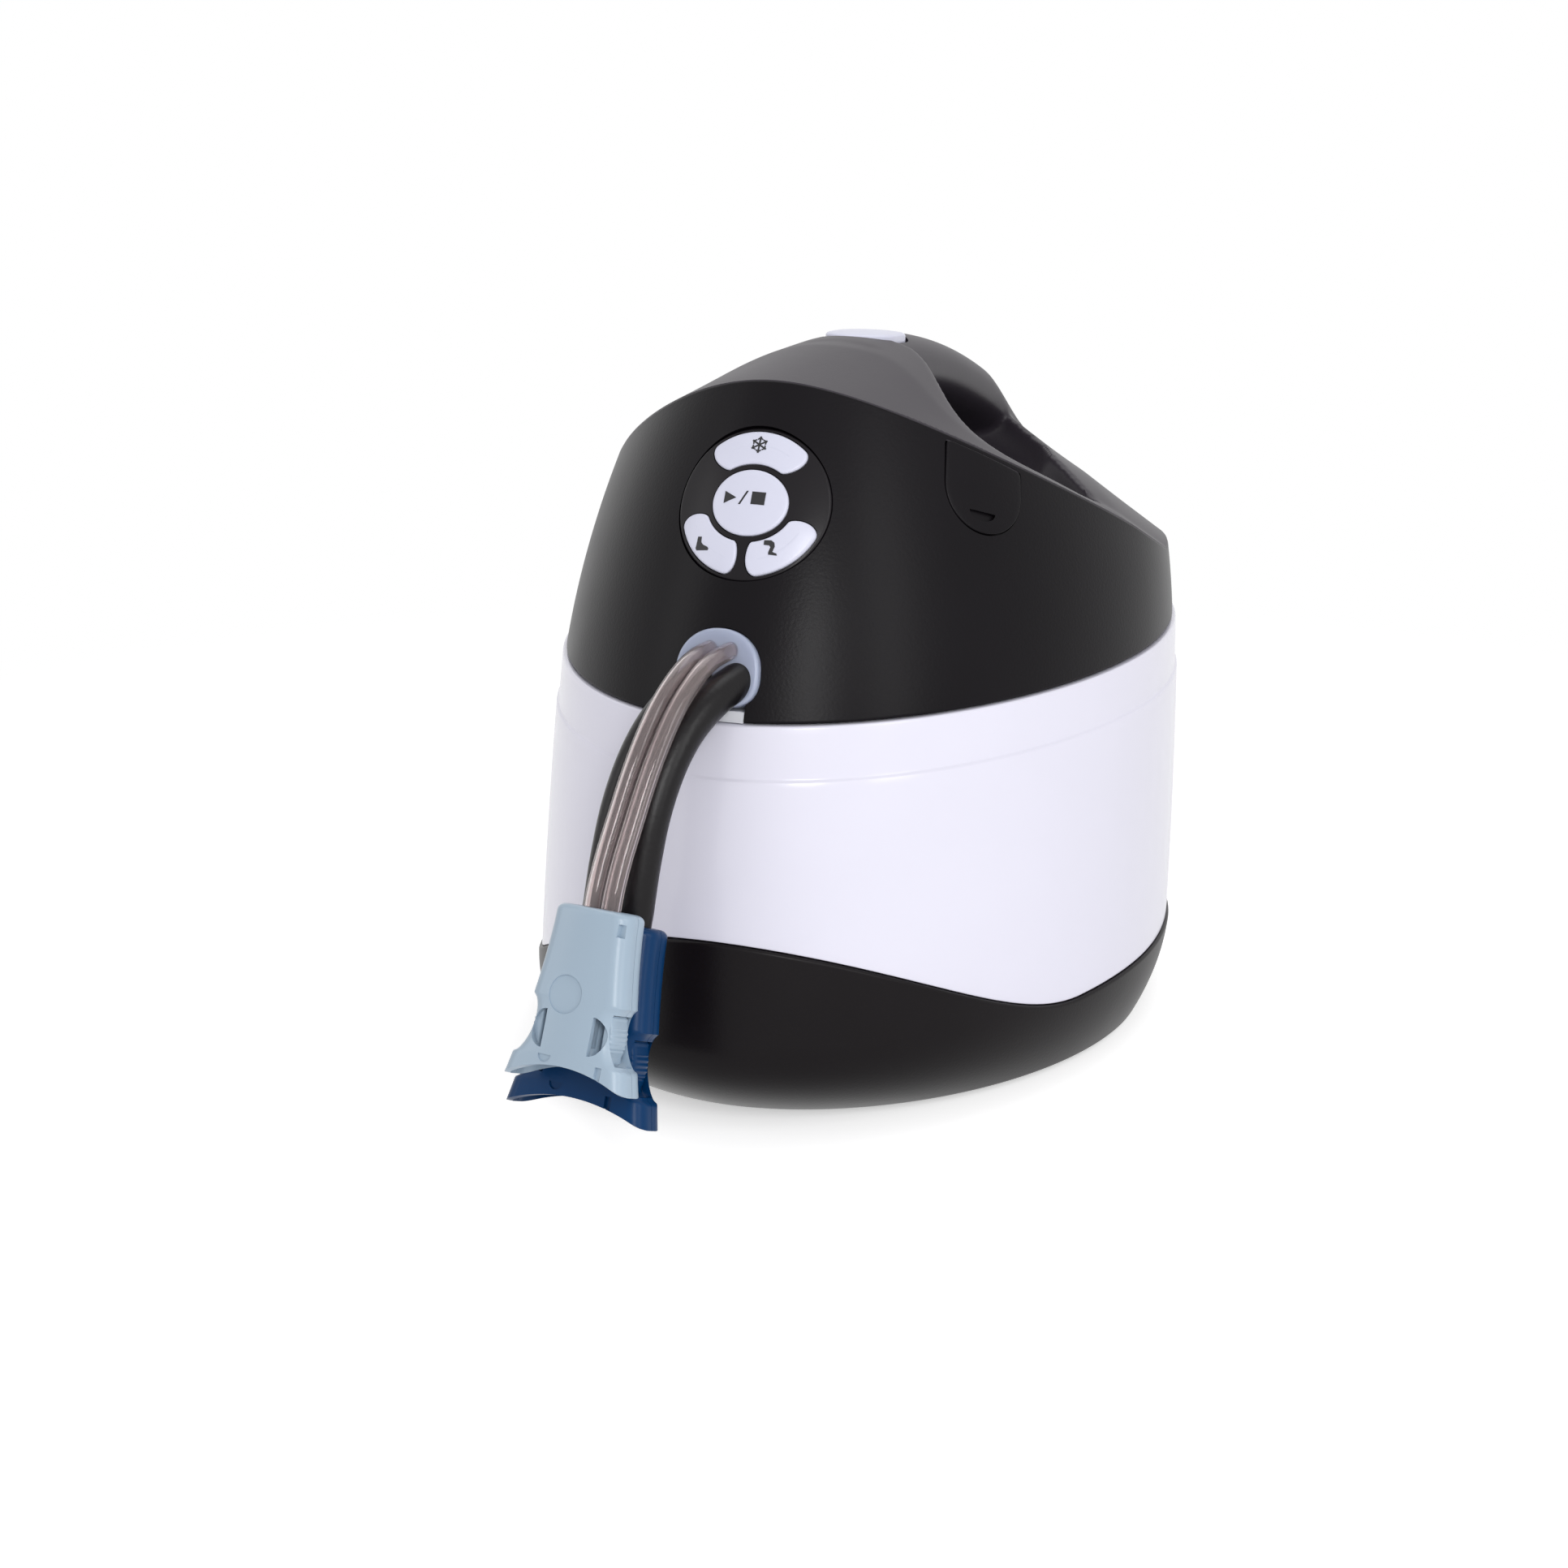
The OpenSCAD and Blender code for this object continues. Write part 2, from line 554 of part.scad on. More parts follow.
module release_button() {
  color([0.90, 0.90, 0.93])
    translate([0, rel_y, rel_z]) difference() {
      union() {
        translate([0, 0, rel_travel + 0.4 - pocket_d]) linear_extrude(pocket_d - rel_travel) stadium(rel_w, rel_l);
        translate([0, 0, rel_travel - pocket_d - 4]) cylinder(h = 6, r = 3.7, $fn = 32);
      }
      translate([0, 0, 84.6]) rotate([0, 90, 0]) cylinder(h = 60, r = 85, center = true, $fn = 128);
    }
}

// inner pan: a plate under the housing with a skirt that drops into the tub
skirt_in = liner_in + 3;
skirt_t = 2.5;
tower_r = 27;
pump_y = mid_y + 18;
module lid_pan() {
  color([0.92, 0.92, 0.95])
    difference() {
      union() {
        loft([flat_ring(pan_z, house_t + 1), flat_ring(pan_top, house_t + 1)]);
        difference() {
          loft([flat_ring(split_h - skirt_h, skirt_in), flat_ring(split_h - 0.1, skirt_in),
            flat_ring(pan_z + 1, skirt_in)]);
          loft([flat_ring(split_h - skirt_h - 1, skirt_in + skirt_t), flat_ring(split_h, skirt_in + skirt_t)]);
        }
        intersection() {
          front_frame() translate([-slot_w/2 + fit, -30, -7]) cube([slot_w - 2*fit, 15.6, 6.2]);
          translate([-30, -body_l/2 - 10, pan_z]) cube([60, 60, 12]);
        }
        for (s = [-1, 1])
          translate([s*(bolt_w/2 + fit + 1.5) - 1.5, keeper_y - 34, pan_top - 0.5]) cube([3, 30, 5.5]);
      }
      translate([-keeper_w/2 - fit, keeper_y - fit, split_h - 2]) cube([keeper_w + 2*fit, keeper_d + 2*fit, 20]);
      translate([0, pump_y, split_h - 20]) cylinder(h = 40, r = pump_neck_r + 0.05, $fn = 64);
    }
}
module lid_gasket() {
  color([0.55, 0.57, 0.60])
    loft([flat_ring(pan_z - 3.2, skirt_in - 2), flat_ring(pan_z - 0.8, skirt_in - 2.2),
      flat_ring(pan_z - 0.8, skirt_in), flat_ring(pan_z - 3.2, skirt_in)], closed = true);
}

module latch_bolt() {
  color([0.78, 0.79, 0.80])
    translate([-bolt_w/2, keeper_y - 32, pan_top + 0.1]) {
      cube([bolt_w, 32 + bolt_travel - 1, 4.5]);
      translate([0, 8, 4]) cube([bolt_w, 5, 5]);
    }
}

// ---------- works in the lid ----------
module main_board() {
  color([0.10, 0.35, 0.20])
    translate([-48, mid_y - 70, pan_top]) {
      for (x = [4, 68], y = [4, 36]) translate([x, y, 0]) cylinder(h = 5, r = 2.5, $fn = 24);
      translate([0, 0, 5]) cube([72, 40, 1.6]);
      translate([12, 8, 6.6]) cube([16, 14, 3]);
      translate([40, 10, 6.6]) cube([10, 10, 8]);
      for (x = [56, 64]) translate([x, 28, 6.6]) cylinder(h = 9, r = 3, $fn = 24);
    }
}
comp_r = 13;
comp_at = [18, mid_y + 78, pan_top + comp_r + 1];
rotor_r = 9;
module compressor_body() {
  color([0.62, 0.63, 0.66])
    translate(comp_at) difference() {
      union() {
        rotate([0, 90, 0]) cylinder(h = 46, r = comp_r, $fn = 64);
        for (x = [6, 34]) translate([x, -comp_r, -comp_r - 1]) cube([6, 2*comp_r, 6]);
      }
      translate([3, 0, 0]) rotate([0, 90, 0]) cylinder(h = 40, r = rotor_r + 1, $fn = 48);
      translate([-1, 0, 0]) rotate([0, 90, 0]) cylinder(h = 60, r = 2.05, $fn = 32);
    }
}
module compressor_rotor() {
  color([0.70, 0.45, 0.25])
    translate(comp_at) rotate([0, 90, 0]) {
      translate([0, 0, 5]) cylinder(h = 34, r = rotor_r, $fn = 48);
      translate([0, 0, -7]) cylinder(h = 51, r = 2, $fn = 32);
      translate([0, 0, -7]) cylinder(h = 4, r = 6, $fn = 32);
    }
}
module compressor_head() {
  color([0.25, 0.26, 0.28])
    translate([comp_at[0] - 26, comp_at[1], pan_top]) difference() {
      translate([0, -14, 0]) cube([25.5, 28, 28]);
      translate([10, 0, comp_r + 1]) rotate([0, 90, 0]) cylinder(h = 30, r = 8, $fn = 48);
    }
}
module air_valve(s) {
  color([0.80, 0.80, 0.74])
    translate([s*14 - 50, mid_y - 18, pan_top]) {
      cube([18, 22, 16]);
      translate([9, 11, 15]) cylinder(h = 6, r = 2.5, $fn = 32);
    }
}
module air_manifold() {
  color([0.85, 0.86, 0.88])
    translate([-77, mid_y + 20, pan_top]) {
      cube([56, 12, 12]);
      for (x = [10, 28, 46]) translate([x, 6, 11]) cylinder(h = 6, r = 2.5, $fn = 32);
    }
}
pump_r = 26;
pump_neck_r = 14;
pump_top = split_h - 10;
pump_h = 32;
cover_t = 8;
module pump_housing() {
  color([0.30, 0.33, 0.38])
    translate([0, pump_y, 0]) difference() {
      union() {
        translate([0, 0, pump_top - pump_h]) cylinder(h = pump_h, r = pump_r, $fn = 72);
        translate([0, 0, pump_top - 1]) cylinder(h = pan_top + 4 - pump_top, r = pump_neck_r, $fn = 64);
        translate([0, 0, pan_top]) cylinder(h = 4, r = pump_neck_r + 4, $fn = 64);
      }
      translate([0, 0, pump_top - pump_h - 1]) cylinder(h = 13, r = pump_r - 6, $fn = 64);
      translate([0, 0, pump_top - pump_h]) cylinder(h = 26, r = 2.05, $fn = 32);
    }
}
impeller_r = pump_r - 8;
module pump_impeller() {
  color([0.75, 0.30, 0.12])
    translate([0, pump_y, pump_top - pump_h]) {
      translate([0, 0, 8]) cylinder(h = 2, r = impeller_r, $fn = 64);
      for (a = [0:60:300]) rotate([0, 0, a + 8]) translate([4, -0.8, 1]) cube([impeller_r - 4.6, 1.6, 7.4]);
      translate([0, 0, 1]) cylinder(h = 23, r = 2, $fn = 32);
      translate([0, 0, 1]) cylinder(h = 8, r = 5, $fn = 32);
    }
}
module pump_cover() {
  color([0.30, 0.33, 0.38])
    translate([0, pump_y, pump_top - pump_h - cover_t]) difference() {
      cylinder(h = cover_t, r = pump_r, $fn = 72);
      translate([0, 0, -1]) cylinder(h = cover_t + 2, r = 9, $fn = 48);
    }
}
strainer_h = 14;
module intake_strainer() {
  color([0.85, 0.87, 0.90])
    translate([0, pump_y, pump_top - pump_h - cover_t - strainer_h]) difference() {
      cylinder(h = strainer_h, r = pump_r - 3, $fn = 72);
      translate([0, 0, 2]) cylinder(h = strainer_h, r = pump_r - 5, $fn = 72);
      for (a = [0:20:340]) rotate([0, 0, a]) translate([pump_r - 8, -1, 3.5]) cube([10, 2, strainer_h - 6]);
    }
}
module water_manifold() {
  color([0.85, 0.86, 0.88])
    difference() {
      union() {
        translate([-13, pump_y - 44, pan_top]) cube([26, 22, 14]);
        translate([-5, pump_y - 24, pan_top + 5]) cube([10, 24, 8]);
        translate([0, pump_y, pan_top + 4]) cylinder(h = 9, r = 8, $fn = 48);
      }
      for (s = [-1, 1]) translate([s*6.7, pump_y - 45, pan_top + 7]) rotate([-90, 0, 0]) cylinder(h = 14, r = 4, $fn = 32);
    }
}
function screw_place(i) = [[-1, 1][i%2]*76, mid_y + (i < 2 ? -84 : 92)];
module housing_screw(i) {
  color([0.72, 0.72, 0.74])
    translate([screw_place(i)[0], screw_place(i)[1], pan_top]) {
      cylinder(h = 3, r = 4, $fn = 32);
      cylinder(h = 8, r = 1.8, $fn = 24);
    }
}

// ---------- connectors ----------
notch_top = 0.53;         // where the finger notch begins along the connector
notch_end = 0.87;
notch_d = 4;
saddle = 6;               // rise of the mouth's edge in the middle
water_wide = 8;           // how much wider the water connector is
water_long = 7;           // how much longer it is
function plug_len(wide) = plug_l + water_long*wide/water_wide;
function plug_half(u, wide) = (plug_top_w + wide)/2 + (plug_mouth_w - plug_top_w)/2*pow(u, 1.6)
  - (u > notch_top && u < notch_end ? notch_d*pow(sin(180*(u - notch_top)/(notch_end - notch_top)), 0.5) : 0);
function plug_side(inset, s, wide) = [for (i = [0:40]) let (u = i/40)
  [s*(plug_half(u, wide) - inset), -u*plug_len(wide)]];
function plug_saddle(inset, wide, n = 12) = [for (i = [1:n - 1]) let (x = mix(1, -1, i/n))
  [x*((plug_mouth_w + wide)/2 - inset), -plug_len(wide) + saddle*(1 - x*x)]];
module plug_outline(inset, wide) {
  left = plug_side(inset, -1, wide);
  polygon(concat(plug_side(inset, 1, wide), plug_saddle(inset, wide), [for (i = [40:-1:0]) left[i]]));
}
module plug_place(at) {
  translate(at) rotate(plug_turn) children();
}
lever_u = [0.57, 0.84];
lever_w = plug_t - 2*plug_wall - 3;
pivot_r = 1.2;
function lever_z(wide) = -lever_u[0]*plug_len(wide) - 1.5;
function lever_h(wide) = (lever_u[1] - lever_u[0])*plug_len(wide);
function pivot_x(wide) = plug_half(0.7, wide) - 3;
// how far in a lever's window reaches, past the lever when it is pressed
function window_x(wide) = pivot_x(wide) - 3 - lever_h(wide)*sin(lever_swing);
pin_l = lever_w + 2.6;
module plug_shell(side, hose_r, gap, wide = 0) {
  difference() {
    union() {
      rotate([90, 0, 0]) difference() {
        translate([0, 0, side < 0 ? 0 : -plug_t/2]) linear_extrude(plug_t/2) plug_outline(0, wide);
        translate([0, 0, side < 0 ? -1 : -plug_t/2 + plug_wall]) linear_extrude(plug_t/2 + 1 - plug_wall)
          intersection() {
            plug_outline(plug_wall, wide);
            translate([-50, -plug_len(wide) - 9]) square([100, plug_len(wide) + 9 - plug_wall]);
          }
      }
      for (s = [-1, 1])
        translate([s*pivot_x(wide), side*(lever_w/2 + fit), lever_z(wide)]) rotate([side < 0 ? 90 : -90, 0, 0])
          cylinder(h = plug_t/2 - plug_wall/2 - lever_w/2 - fit, r = 2.6, $fn = 32);
    }
    for (s = [-1, 1]) {
      translate([s*gap/2, 0, -12]) cylinder(h = 24, r = hose_r + 0.15, $fn = 48);
      translate([s > 0 ? window_x(wide) : -window_x(wide) - 30, -lever_w/2 - fit,
        -lever_u[1]*plug_len(wide) - fit])
        cube([30, lever_w + 2*fit, lever_h(wide) + 2*fit]);
      translate([s*pivot_x(wide), 0, lever_z(wide)]) rotate([90, 0, 0])
        cylinder(h = pin_l + 0.2, r = pivot_r + 0.05, center = true, $fn = 24);
    }
  }
}
module plug_lever(s, wide = 0) {
  translate([s*pivot_x(wide), 0, lever_z(wide)]) {
    translate([-1.5, -lever_w/2, -lever_h(wide) + 1.5]) cube([3, lever_w, lever_h(wide)]);
    translate([s > 0 ? 1 : -3, -lever_w/2 + 1, -lever_h(wide) + 3]) cube([2, lever_w - 2, lever_h(wide) - 8]);
    rotate([90, 0, 0]) cylinder(h = pin_l, r = pivot_r, center = true, $fn = 24);
  }
}
bore_x = 5.4;             // place of a connector's two bores, from its middle
bore_r = 3;
barrel_r = bore_r + 1.2;
web_x = bore_x + barrel_r - 1;
module plug_block(hose_r, gap, wide = 0) {
  w = 2*(gap/2 + hose_r) + 1;
  difference() {
    union() {
      translate([-w/2, -plug_t/2 + plug_wall, -26]) cube([w, plug_t - 2*plug_wall, 26 + block_top]);
      for (s = [-1, 1]) translate([s*bore_x, 0, -plug_len(wide) + 10])
        cylinder(h = plug_len(wide) - 30, r = barrel_r, $fn = 40);
      translate([-web_x, -4, -plug_len(wide) + 14]) cube([2*web_x, 8, plug_len(wide) - 38]);
    }
    for (s = [-1, 1]) translate([s*bore_x, 0, -plug_len(wide) + 9]) cylinder(h = 16.5, r = bore_r, $fn = 32);
  }
}
air_grey = [0.63, 0.71, 0.76];
water_blue = [0.05, 0.27, 0.47];
module air_plug_front() { color(air_grey) plug_place(air_plug_at) plug_shell(-1, air_d/2, air_gap); }
module air_plug_back() { color(air_grey) plug_place(air_plug_at) plug_shell(1, air_d/2, air_gap); }
module air_plug_block() { color([0.5, 0.56, 0.6]) plug_place(air_plug_at) plug_block(air_d/2, air_gap); }
module air_lever(s) { color([0.7, 0.78, 0.83]) plug_place(air_plug_at) plug_lever(s); }
module water_plug_front() { color(water_blue) plug_place(water_plug_at) plug_shell(-1, water_d/2, water_gap, water_wide); }
module water_plug_back() { color(water_blue) plug_place(water_plug_at) plug_shell(1, water_d/2, water_gap, water_wide); }
module water_plug_block() { color([0.04, 0.2, 0.38]) plug_place(water_plug_at) plug_block(water_d/2, water_gap, water_wide); }
module water_lever(s) { color([0.07, 0.32, 0.55]) plug_place(water_plug_at) plug_lever(s, water_wide); }

tub_shell();
tub_liner();
insulation_foam();
base_trim();
rubber_foot(0);  // foot_front_left
rubber_foot(1);  // foot_front_right
rubber_foot(2);  // foot_rear_left
rubber_foot(3);  // foot_rear_right
latch_keeper();
lid_housing();
top_cover();
lid_pan();
lid_gasket();
keypad_panel();
keypad_board();
hose_grommet();
main_board();
compressor_body();
compressor_head();
compressor_rotor();
air_valve(-1);  // air_valve_left
air_valve(1);  // air_valve_right
air_manifold();
pump_housing();
pump_cover();
pump_impeller();
intake_strainer();
water_manifold();
dc_jack();
port_cover();
housing_screw(0);  // housing_screw_1
housing_screw(1);  // housing_screw_2
housing_screw(2);  // housing_screw_3
housing_screw(3);  // housing_screw_4
release_button();
latch_bolt();
button_cold();
button_run();
button_left();
button_right();
air_hose(-1);  // air_hose_left
air_hose(1);  // air_hose_right
water_hose(-1);  // water_hose_left
water_hose(1);  // water_hose_right
air_plug_front();
air_plug_back();
air_plug_block();
air_lever(-1);  // air_lever_left
air_lever(1);  // air_lever_right
water_plug_front();
water_plug_back();
water_plug_block();
water_lever(-1);  // water_lever_left
water_lever(1);  // water_lever_right
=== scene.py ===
import math
import bmesh
import bpy
import numpy as np
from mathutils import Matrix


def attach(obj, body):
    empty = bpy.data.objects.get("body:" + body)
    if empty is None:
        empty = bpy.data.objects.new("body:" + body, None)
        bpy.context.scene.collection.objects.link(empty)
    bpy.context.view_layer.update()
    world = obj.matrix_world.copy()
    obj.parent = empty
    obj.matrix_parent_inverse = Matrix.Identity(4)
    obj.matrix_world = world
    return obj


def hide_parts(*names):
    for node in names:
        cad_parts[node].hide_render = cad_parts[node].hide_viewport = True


# Cold and compression therapy pump. Shapes are worked out in millimetres and
# put into the meshes in metres; the front faces -Y and the floor is z = 0.
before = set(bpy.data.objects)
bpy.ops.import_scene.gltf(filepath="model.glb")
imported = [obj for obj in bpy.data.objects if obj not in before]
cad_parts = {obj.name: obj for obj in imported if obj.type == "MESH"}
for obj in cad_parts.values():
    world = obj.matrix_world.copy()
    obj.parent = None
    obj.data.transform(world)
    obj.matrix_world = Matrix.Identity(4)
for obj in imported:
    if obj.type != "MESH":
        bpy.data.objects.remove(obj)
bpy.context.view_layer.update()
mm = 0.001
scene = bpy.context.scene

# camera, light and floor
cameraPlace = {"at": (437.6, -1251.5, 464.2), "azimuth": 20.58, "elevation": 15.974, "lens": 81.363}
cameraData = bpy.data.cameras.new("photoCamera")
cameraData.lens = cameraPlace["lens"]
cameraData.sensor_width = 36
camera = bpy.data.objects.new("photoCamera", cameraData)
scene.collection.objects.link(camera)
camera.location = [c*mm for c in cameraPlace["at"]]
camera.rotation_euler = (math.radians(90 - cameraPlace["elevation"]), 0, math.radians(cameraPlace["azimuth"]))
scene.camera = camera
scene.view_settings.view_transform = "Standard"

studio = {
    "worldGrey": 0.42, "floorLift": 0.52, "liftFrom": 0.25, "liftTo": 0.7,
    "overhead": {"at": (-0.1, 0.35, 1.25), "size": (1.1, 0.9), "power": 5.0},
    "leftBox": {"at": (-1.15, -0.75, 0.62), "size": (0.5, 1.0), "power": 2.2},
    "rightBox": {"at": (1.05, -0.55, 0.7), "size": (0.35, 0.9), "power": 3.2},
    "frontBox": {"at": (0.56, -1.02, 0.6), "size": (0.3, 0.45), "power": 4.4},
}


def areaLamp(name, settings, aim=(0, 0, 0.12)):
    data = bpy.data.lights.new(name, "AREA")
    data.shape = "RECTANGLE"
    data.size, data.size_y = settings["size"]
    data.energy = settings["power"]
    lamp = bpy.data.objects.new(name, data)
    scene.collection.objects.link(lamp)
    lamp.location = settings["at"]
    away = np.array(settings["at"]) - np.array(aim)
    flat = math.hypot(away[0], away[1])
    lamp.rotation_euler = (math.atan2(flat, away[2]), 0, math.atan2(away[0], -away[1]))


for lampName in ("overhead", "leftBox", "rightBox", "frontBox"):
    areaLamp(lampName, studio[lampName])


def whiteToRays(nodes, links, shader, output, rays):
    # pure white to the rays named, such as the camera's; the given shader to everything else
    path = nodes.new("ShaderNodeLightPath")
    glow = nodes.new("ShaderNodeEmission" if output.type == "OUTPUT_MATERIAL" else "ShaderNodeBackground")
    glow.inputs["Color"].default_value = (1, 1, 1, 1)
    glow.inputs["Strength"].default_value = 1.0
    anyRay = path.outputs[rays[0]]
    for ray in rays[1:]:
        either = nodes.new("ShaderNodeMath")
        either.operation = "MAXIMUM"
        links.new(anyRay, either.inputs[0])
        links.new(path.outputs[ray], either.inputs[1])
        anyRay = either.outputs[0]
    blend = nodes.new("ShaderNodeMixShader")
    links.new(anyRay, blend.inputs[0])
    links.new(shader.outputs[0], blend.inputs[1])
    links.new(glow.outputs[0], blend.inputs[2])
    links.new(blend.outputs[0], output.inputs["Surface"])


world = bpy.data.worlds.new("studioWorld")
scene.world = world
world.use_nodes = True
worldTree = world.node_tree
background = worldTree.nodes["Background"]
background.inputs["Color"].default_value = (1.0, 0.99, 1.0, 1)
background.inputs["Strength"].default_value = studio["worldGrey"]
whiteToRays(worldTree.nodes, worldTree.links, background, worldTree.nodes["World Output"],
            ("Is Camera Ray", "Is Glossy Ray", "Is Transmission Ray"))

floorMesh = bpy.data.meshes.new("floor")
floorMesh.from_pydata([(-6, -6, 0), (6, -6, 0), (6, 6, 0), (-6, 6, 0)], [], [(0, 1, 2, 3)])
floor = bpy.data.objects.new("floor", floorMesh)
scene.collection.objects.link(floor)
floorFinish = bpy.data.materials.new("floorFinish")
floorFinish.use_nodes = True
floorShader = floorFinish.node_tree.nodes["Principled BSDF"]
floorShader.inputs["Base Color"].default_value = (0.98, 0.98, 0.98, 1)
floorShader.inputs["Roughness"].default_value = 0.6
floorShader.inputs["Specular IOR Level"].default_value = 0.1


def liftFloor(tree):
    # the camera sees the floor lifted to white, with the object's shadow left in it near the object
    nodes, links = tree.nodes, tree.links
    path, coords = nodes.new("ShaderNodeLightPath"), nodes.new("ShaderNodeTexCoord")
    length = nodes.new("ShaderNodeVectorMath")
    length.operation = "LENGTH"
    links.new(coords.outputs["Object"], length.inputs[0])
    far = nodes.new("ShaderNodeMapRange")
    far.interpolation_type = "SMOOTHSTEP"
    far.inputs["From Min"].default_value = studio["liftFrom"]
    far.inputs["From Max"].default_value = studio["liftTo"]
    links.new(length.outputs["Value"], far.inputs["Value"])
    lift = nodes.new("ShaderNodeEmission")
    lift.inputs["Strength"].default_value = studio["floorLift"]
    lit, near = nodes.new("ShaderNodeAddShader"), nodes.new("ShaderNodeMixShader")
    links.new(floorShader.outputs[0], lit.inputs[0])
    links.new(lift.outputs[0], lit.inputs[1])
    white = nodes.new("ShaderNodeEmission")
    links.new(far.outputs["Result"], near.inputs[0])
    links.new(lit.outputs[0], near.inputs[1])
    links.new(white.outputs[0], near.inputs[2])
    seen = nodes.new("ShaderNodeMixShader")
    links.new(path.outputs["Is Camera Ray"], seen.inputs[0])
    links.new(floorShader.outputs[0], seen.inputs[1])
    links.new(near.outputs[0], seen.inputs[2])
    whiteToRays(nodes, links, seen, nodes["Material Output"], ("Is Glossy Ray", "Is Transmission Ray"))


liftFloor(floorFinish.node_tree)
floorMesh.materials.append(floorFinish)
print("camera, lights and floor placed")

# the body's skin, the same formulas as the part's source
body = {
    "length": 320, "width": 223, "splitZ": 147, "belly": 5, "endsIn": 41, "sidesIn": 10,
    "baseRound": 36, "tubLean": 20, "lidLean": 25, "lidIn": 33, "lidRise": 118,
    "egg": 0.046, "squareness": 1.036, "midY": 9.3,
    "crestFront": 111, "crestRear": 28, "creaseRun": 1.3, "creaseBend": 1.2,
    "waveFront": 72, "waveSide": 31, "handleRise": 115.4, "rearDrop": 10, "sideW": 104, "sideL": 153,
}


def bend(v):
    return np.sign(v)*np.abs(v)**body["squareness"]


def swell(z, draw):
    # belly with a power-law draw-in at the floor, a parabola above it
    low = body["belly"] - draw*np.clip(1 - z/body["baseRound"], 0, 1)**2.2
    high = 2 + (body["belly"] - 2)*(1 - ((z - body["baseRound"])/(body["splitZ"] - body["baseRound"]))**2)
    return np.where(z < body["baseRound"], low, high)


def lidDraw(z):
    u = (z - body["splitZ"])/body["lidRise"]
    return body["lidIn"]*(0.33*u + 0.67*u*u)


def halfLength(z):
    return body["length"]/2 + np.where(z <= body["splitZ"], swell(z, body["endsIn"]), -lidDraw(z))


def halfWidth(z):
    return body["width"]/2 + np.where(z <= body["splitZ"], swell(z, body["sidesIn"]), -1.1*lidDraw(z))


def leanBack(z):
    return body["midY"] + np.where(z <= body["splitZ"], body["tubLean"]*(z - body["splitZ"])/body["splitZ"],
                                body["lidLean"]*(z - body["splitZ"])/body["lidRise"])


def skin(t, z, inset=0.0):
    # squared egg in plan at every height; t is the plan angle in radians
    t, z, inset = np.broadcast_arrays(np.asarray(t, float), np.asarray(z, float), np.asarray(inset, float))
    s, c = bend(np.sin(t)), bend(np.cos(t))
    x = (halfWidth(z) - inset)*(1 + body["egg"]*s)*c
    return np.stack([x, leanBack(z) + (halfLength(z) - inset)*s, z], -1)


def creaseZ(t):
    u = np.minimum((np.sin(t) + 1)/body["creaseRun"], 1)
    fall = body["rearDrop"]*np.maximum(np.sin(t), 0)**2
    rise = (body["crestFront"] - body["crestRear"])*(1 - u)**body["creaseBend"]
    return body["splitZ"] + body["crestRear"] + rise - fall


def waveZ(t):
    a = np.abs(np.degrees(np.arctan2(body["width"]*np.cos(t), -body["length"]*np.sin(t))))
    return body["waveSide"] + (body["waveFront"] - body["waveSide"])*(1 + np.cos(np.pi*np.minimum(a/62, 1)))/2


def ridgeZ(y):
    d = y - body["midY"] + 36
    return body["splitZ"] + body["handleRise"] - np.where(d < 0, 0.0025*d*d, 0.00176*d*d*(1 - 0.00075*d))


def ease(u):
    v = np.clip(u, 0, 1)
    return v*v*(3 - 2*v)


def rimPoint(t, share=1.0):
    # the bowl's rim: under the hood in front, along the crease at the sides, high on the dome behind
    s, edge = np.sin(t), creaseZ(t)
    front = np.where(s < 0, ease((0.88 - np.abs(np.cos(t)))/0.62), 0)
    p = skin(t, edge, 5.5 + 41*ease((s + 0.09)/0.69))
    p[..., 1] += np.where(s < 0, (4*ease(-s/0.3) + 78*front)*share, 0)
    top = ridgeZ(p[..., 1])
    wide = body["sideW"]*np.sqrt(1 - ((p[..., 1] - body["midY"] - 9)/body["sideL"])**2)
    hood = edge + 1.5 + (top - 0.0088*p[..., 0]**2 - edge - 1.5)*front
    dome = top - 0.5 + (edge - top + 0.5)*np.minimum(np.abs(p[..., 0])/wide, 1)
    p[..., 2] = hood + (dome - hood)*ease((s + 0.3)/0.3)
    return p


def mix(a, b, u):
    return a + (b - a)*u


def ringAngles(n):
    return 2*np.pi*np.arange(n)/n


# mesh and material helpers
def gridFaces(rows, cols, closeRows=False, closeCols=True):
    # quads between neighbouring rows and columns of a grid of points
    r = np.arange(rows if closeRows else rows - 1)
    c = np.arange(cols if closeCols else cols - 1)
    r, c = np.meshgrid(r, c, indexing="ij")
    r2, c2 = (r + 1) % rows, (c + 1) % cols
    return np.stack([r*cols + c, r*cols + c2, r2*cols + c2, r2*cols + c], -1).reshape(-1, 4)


def meshFrom(name, points, faces):
    mesh = bpy.data.meshes.new(name)
    mesh.from_pydata((np.asarray(points).reshape(-1, 3)*mm).tolist(), [], [list(map(int, f)) for f in faces])
    mesh.validate()
    mesh.update()
    return mesh


def lookFor(mesh, angle=40):
    mesh.shade_smooth()
    mesh.set_sharp_from_angle(angle=math.radians(angle))


def piece(name, points, faces, angle=40):
    obj = bpy.data.objects.new(name, meshFrom(name, points, faces))
    scene.collection.objects.link(obj)
    lookFor(obj.data, angle)
    return obj


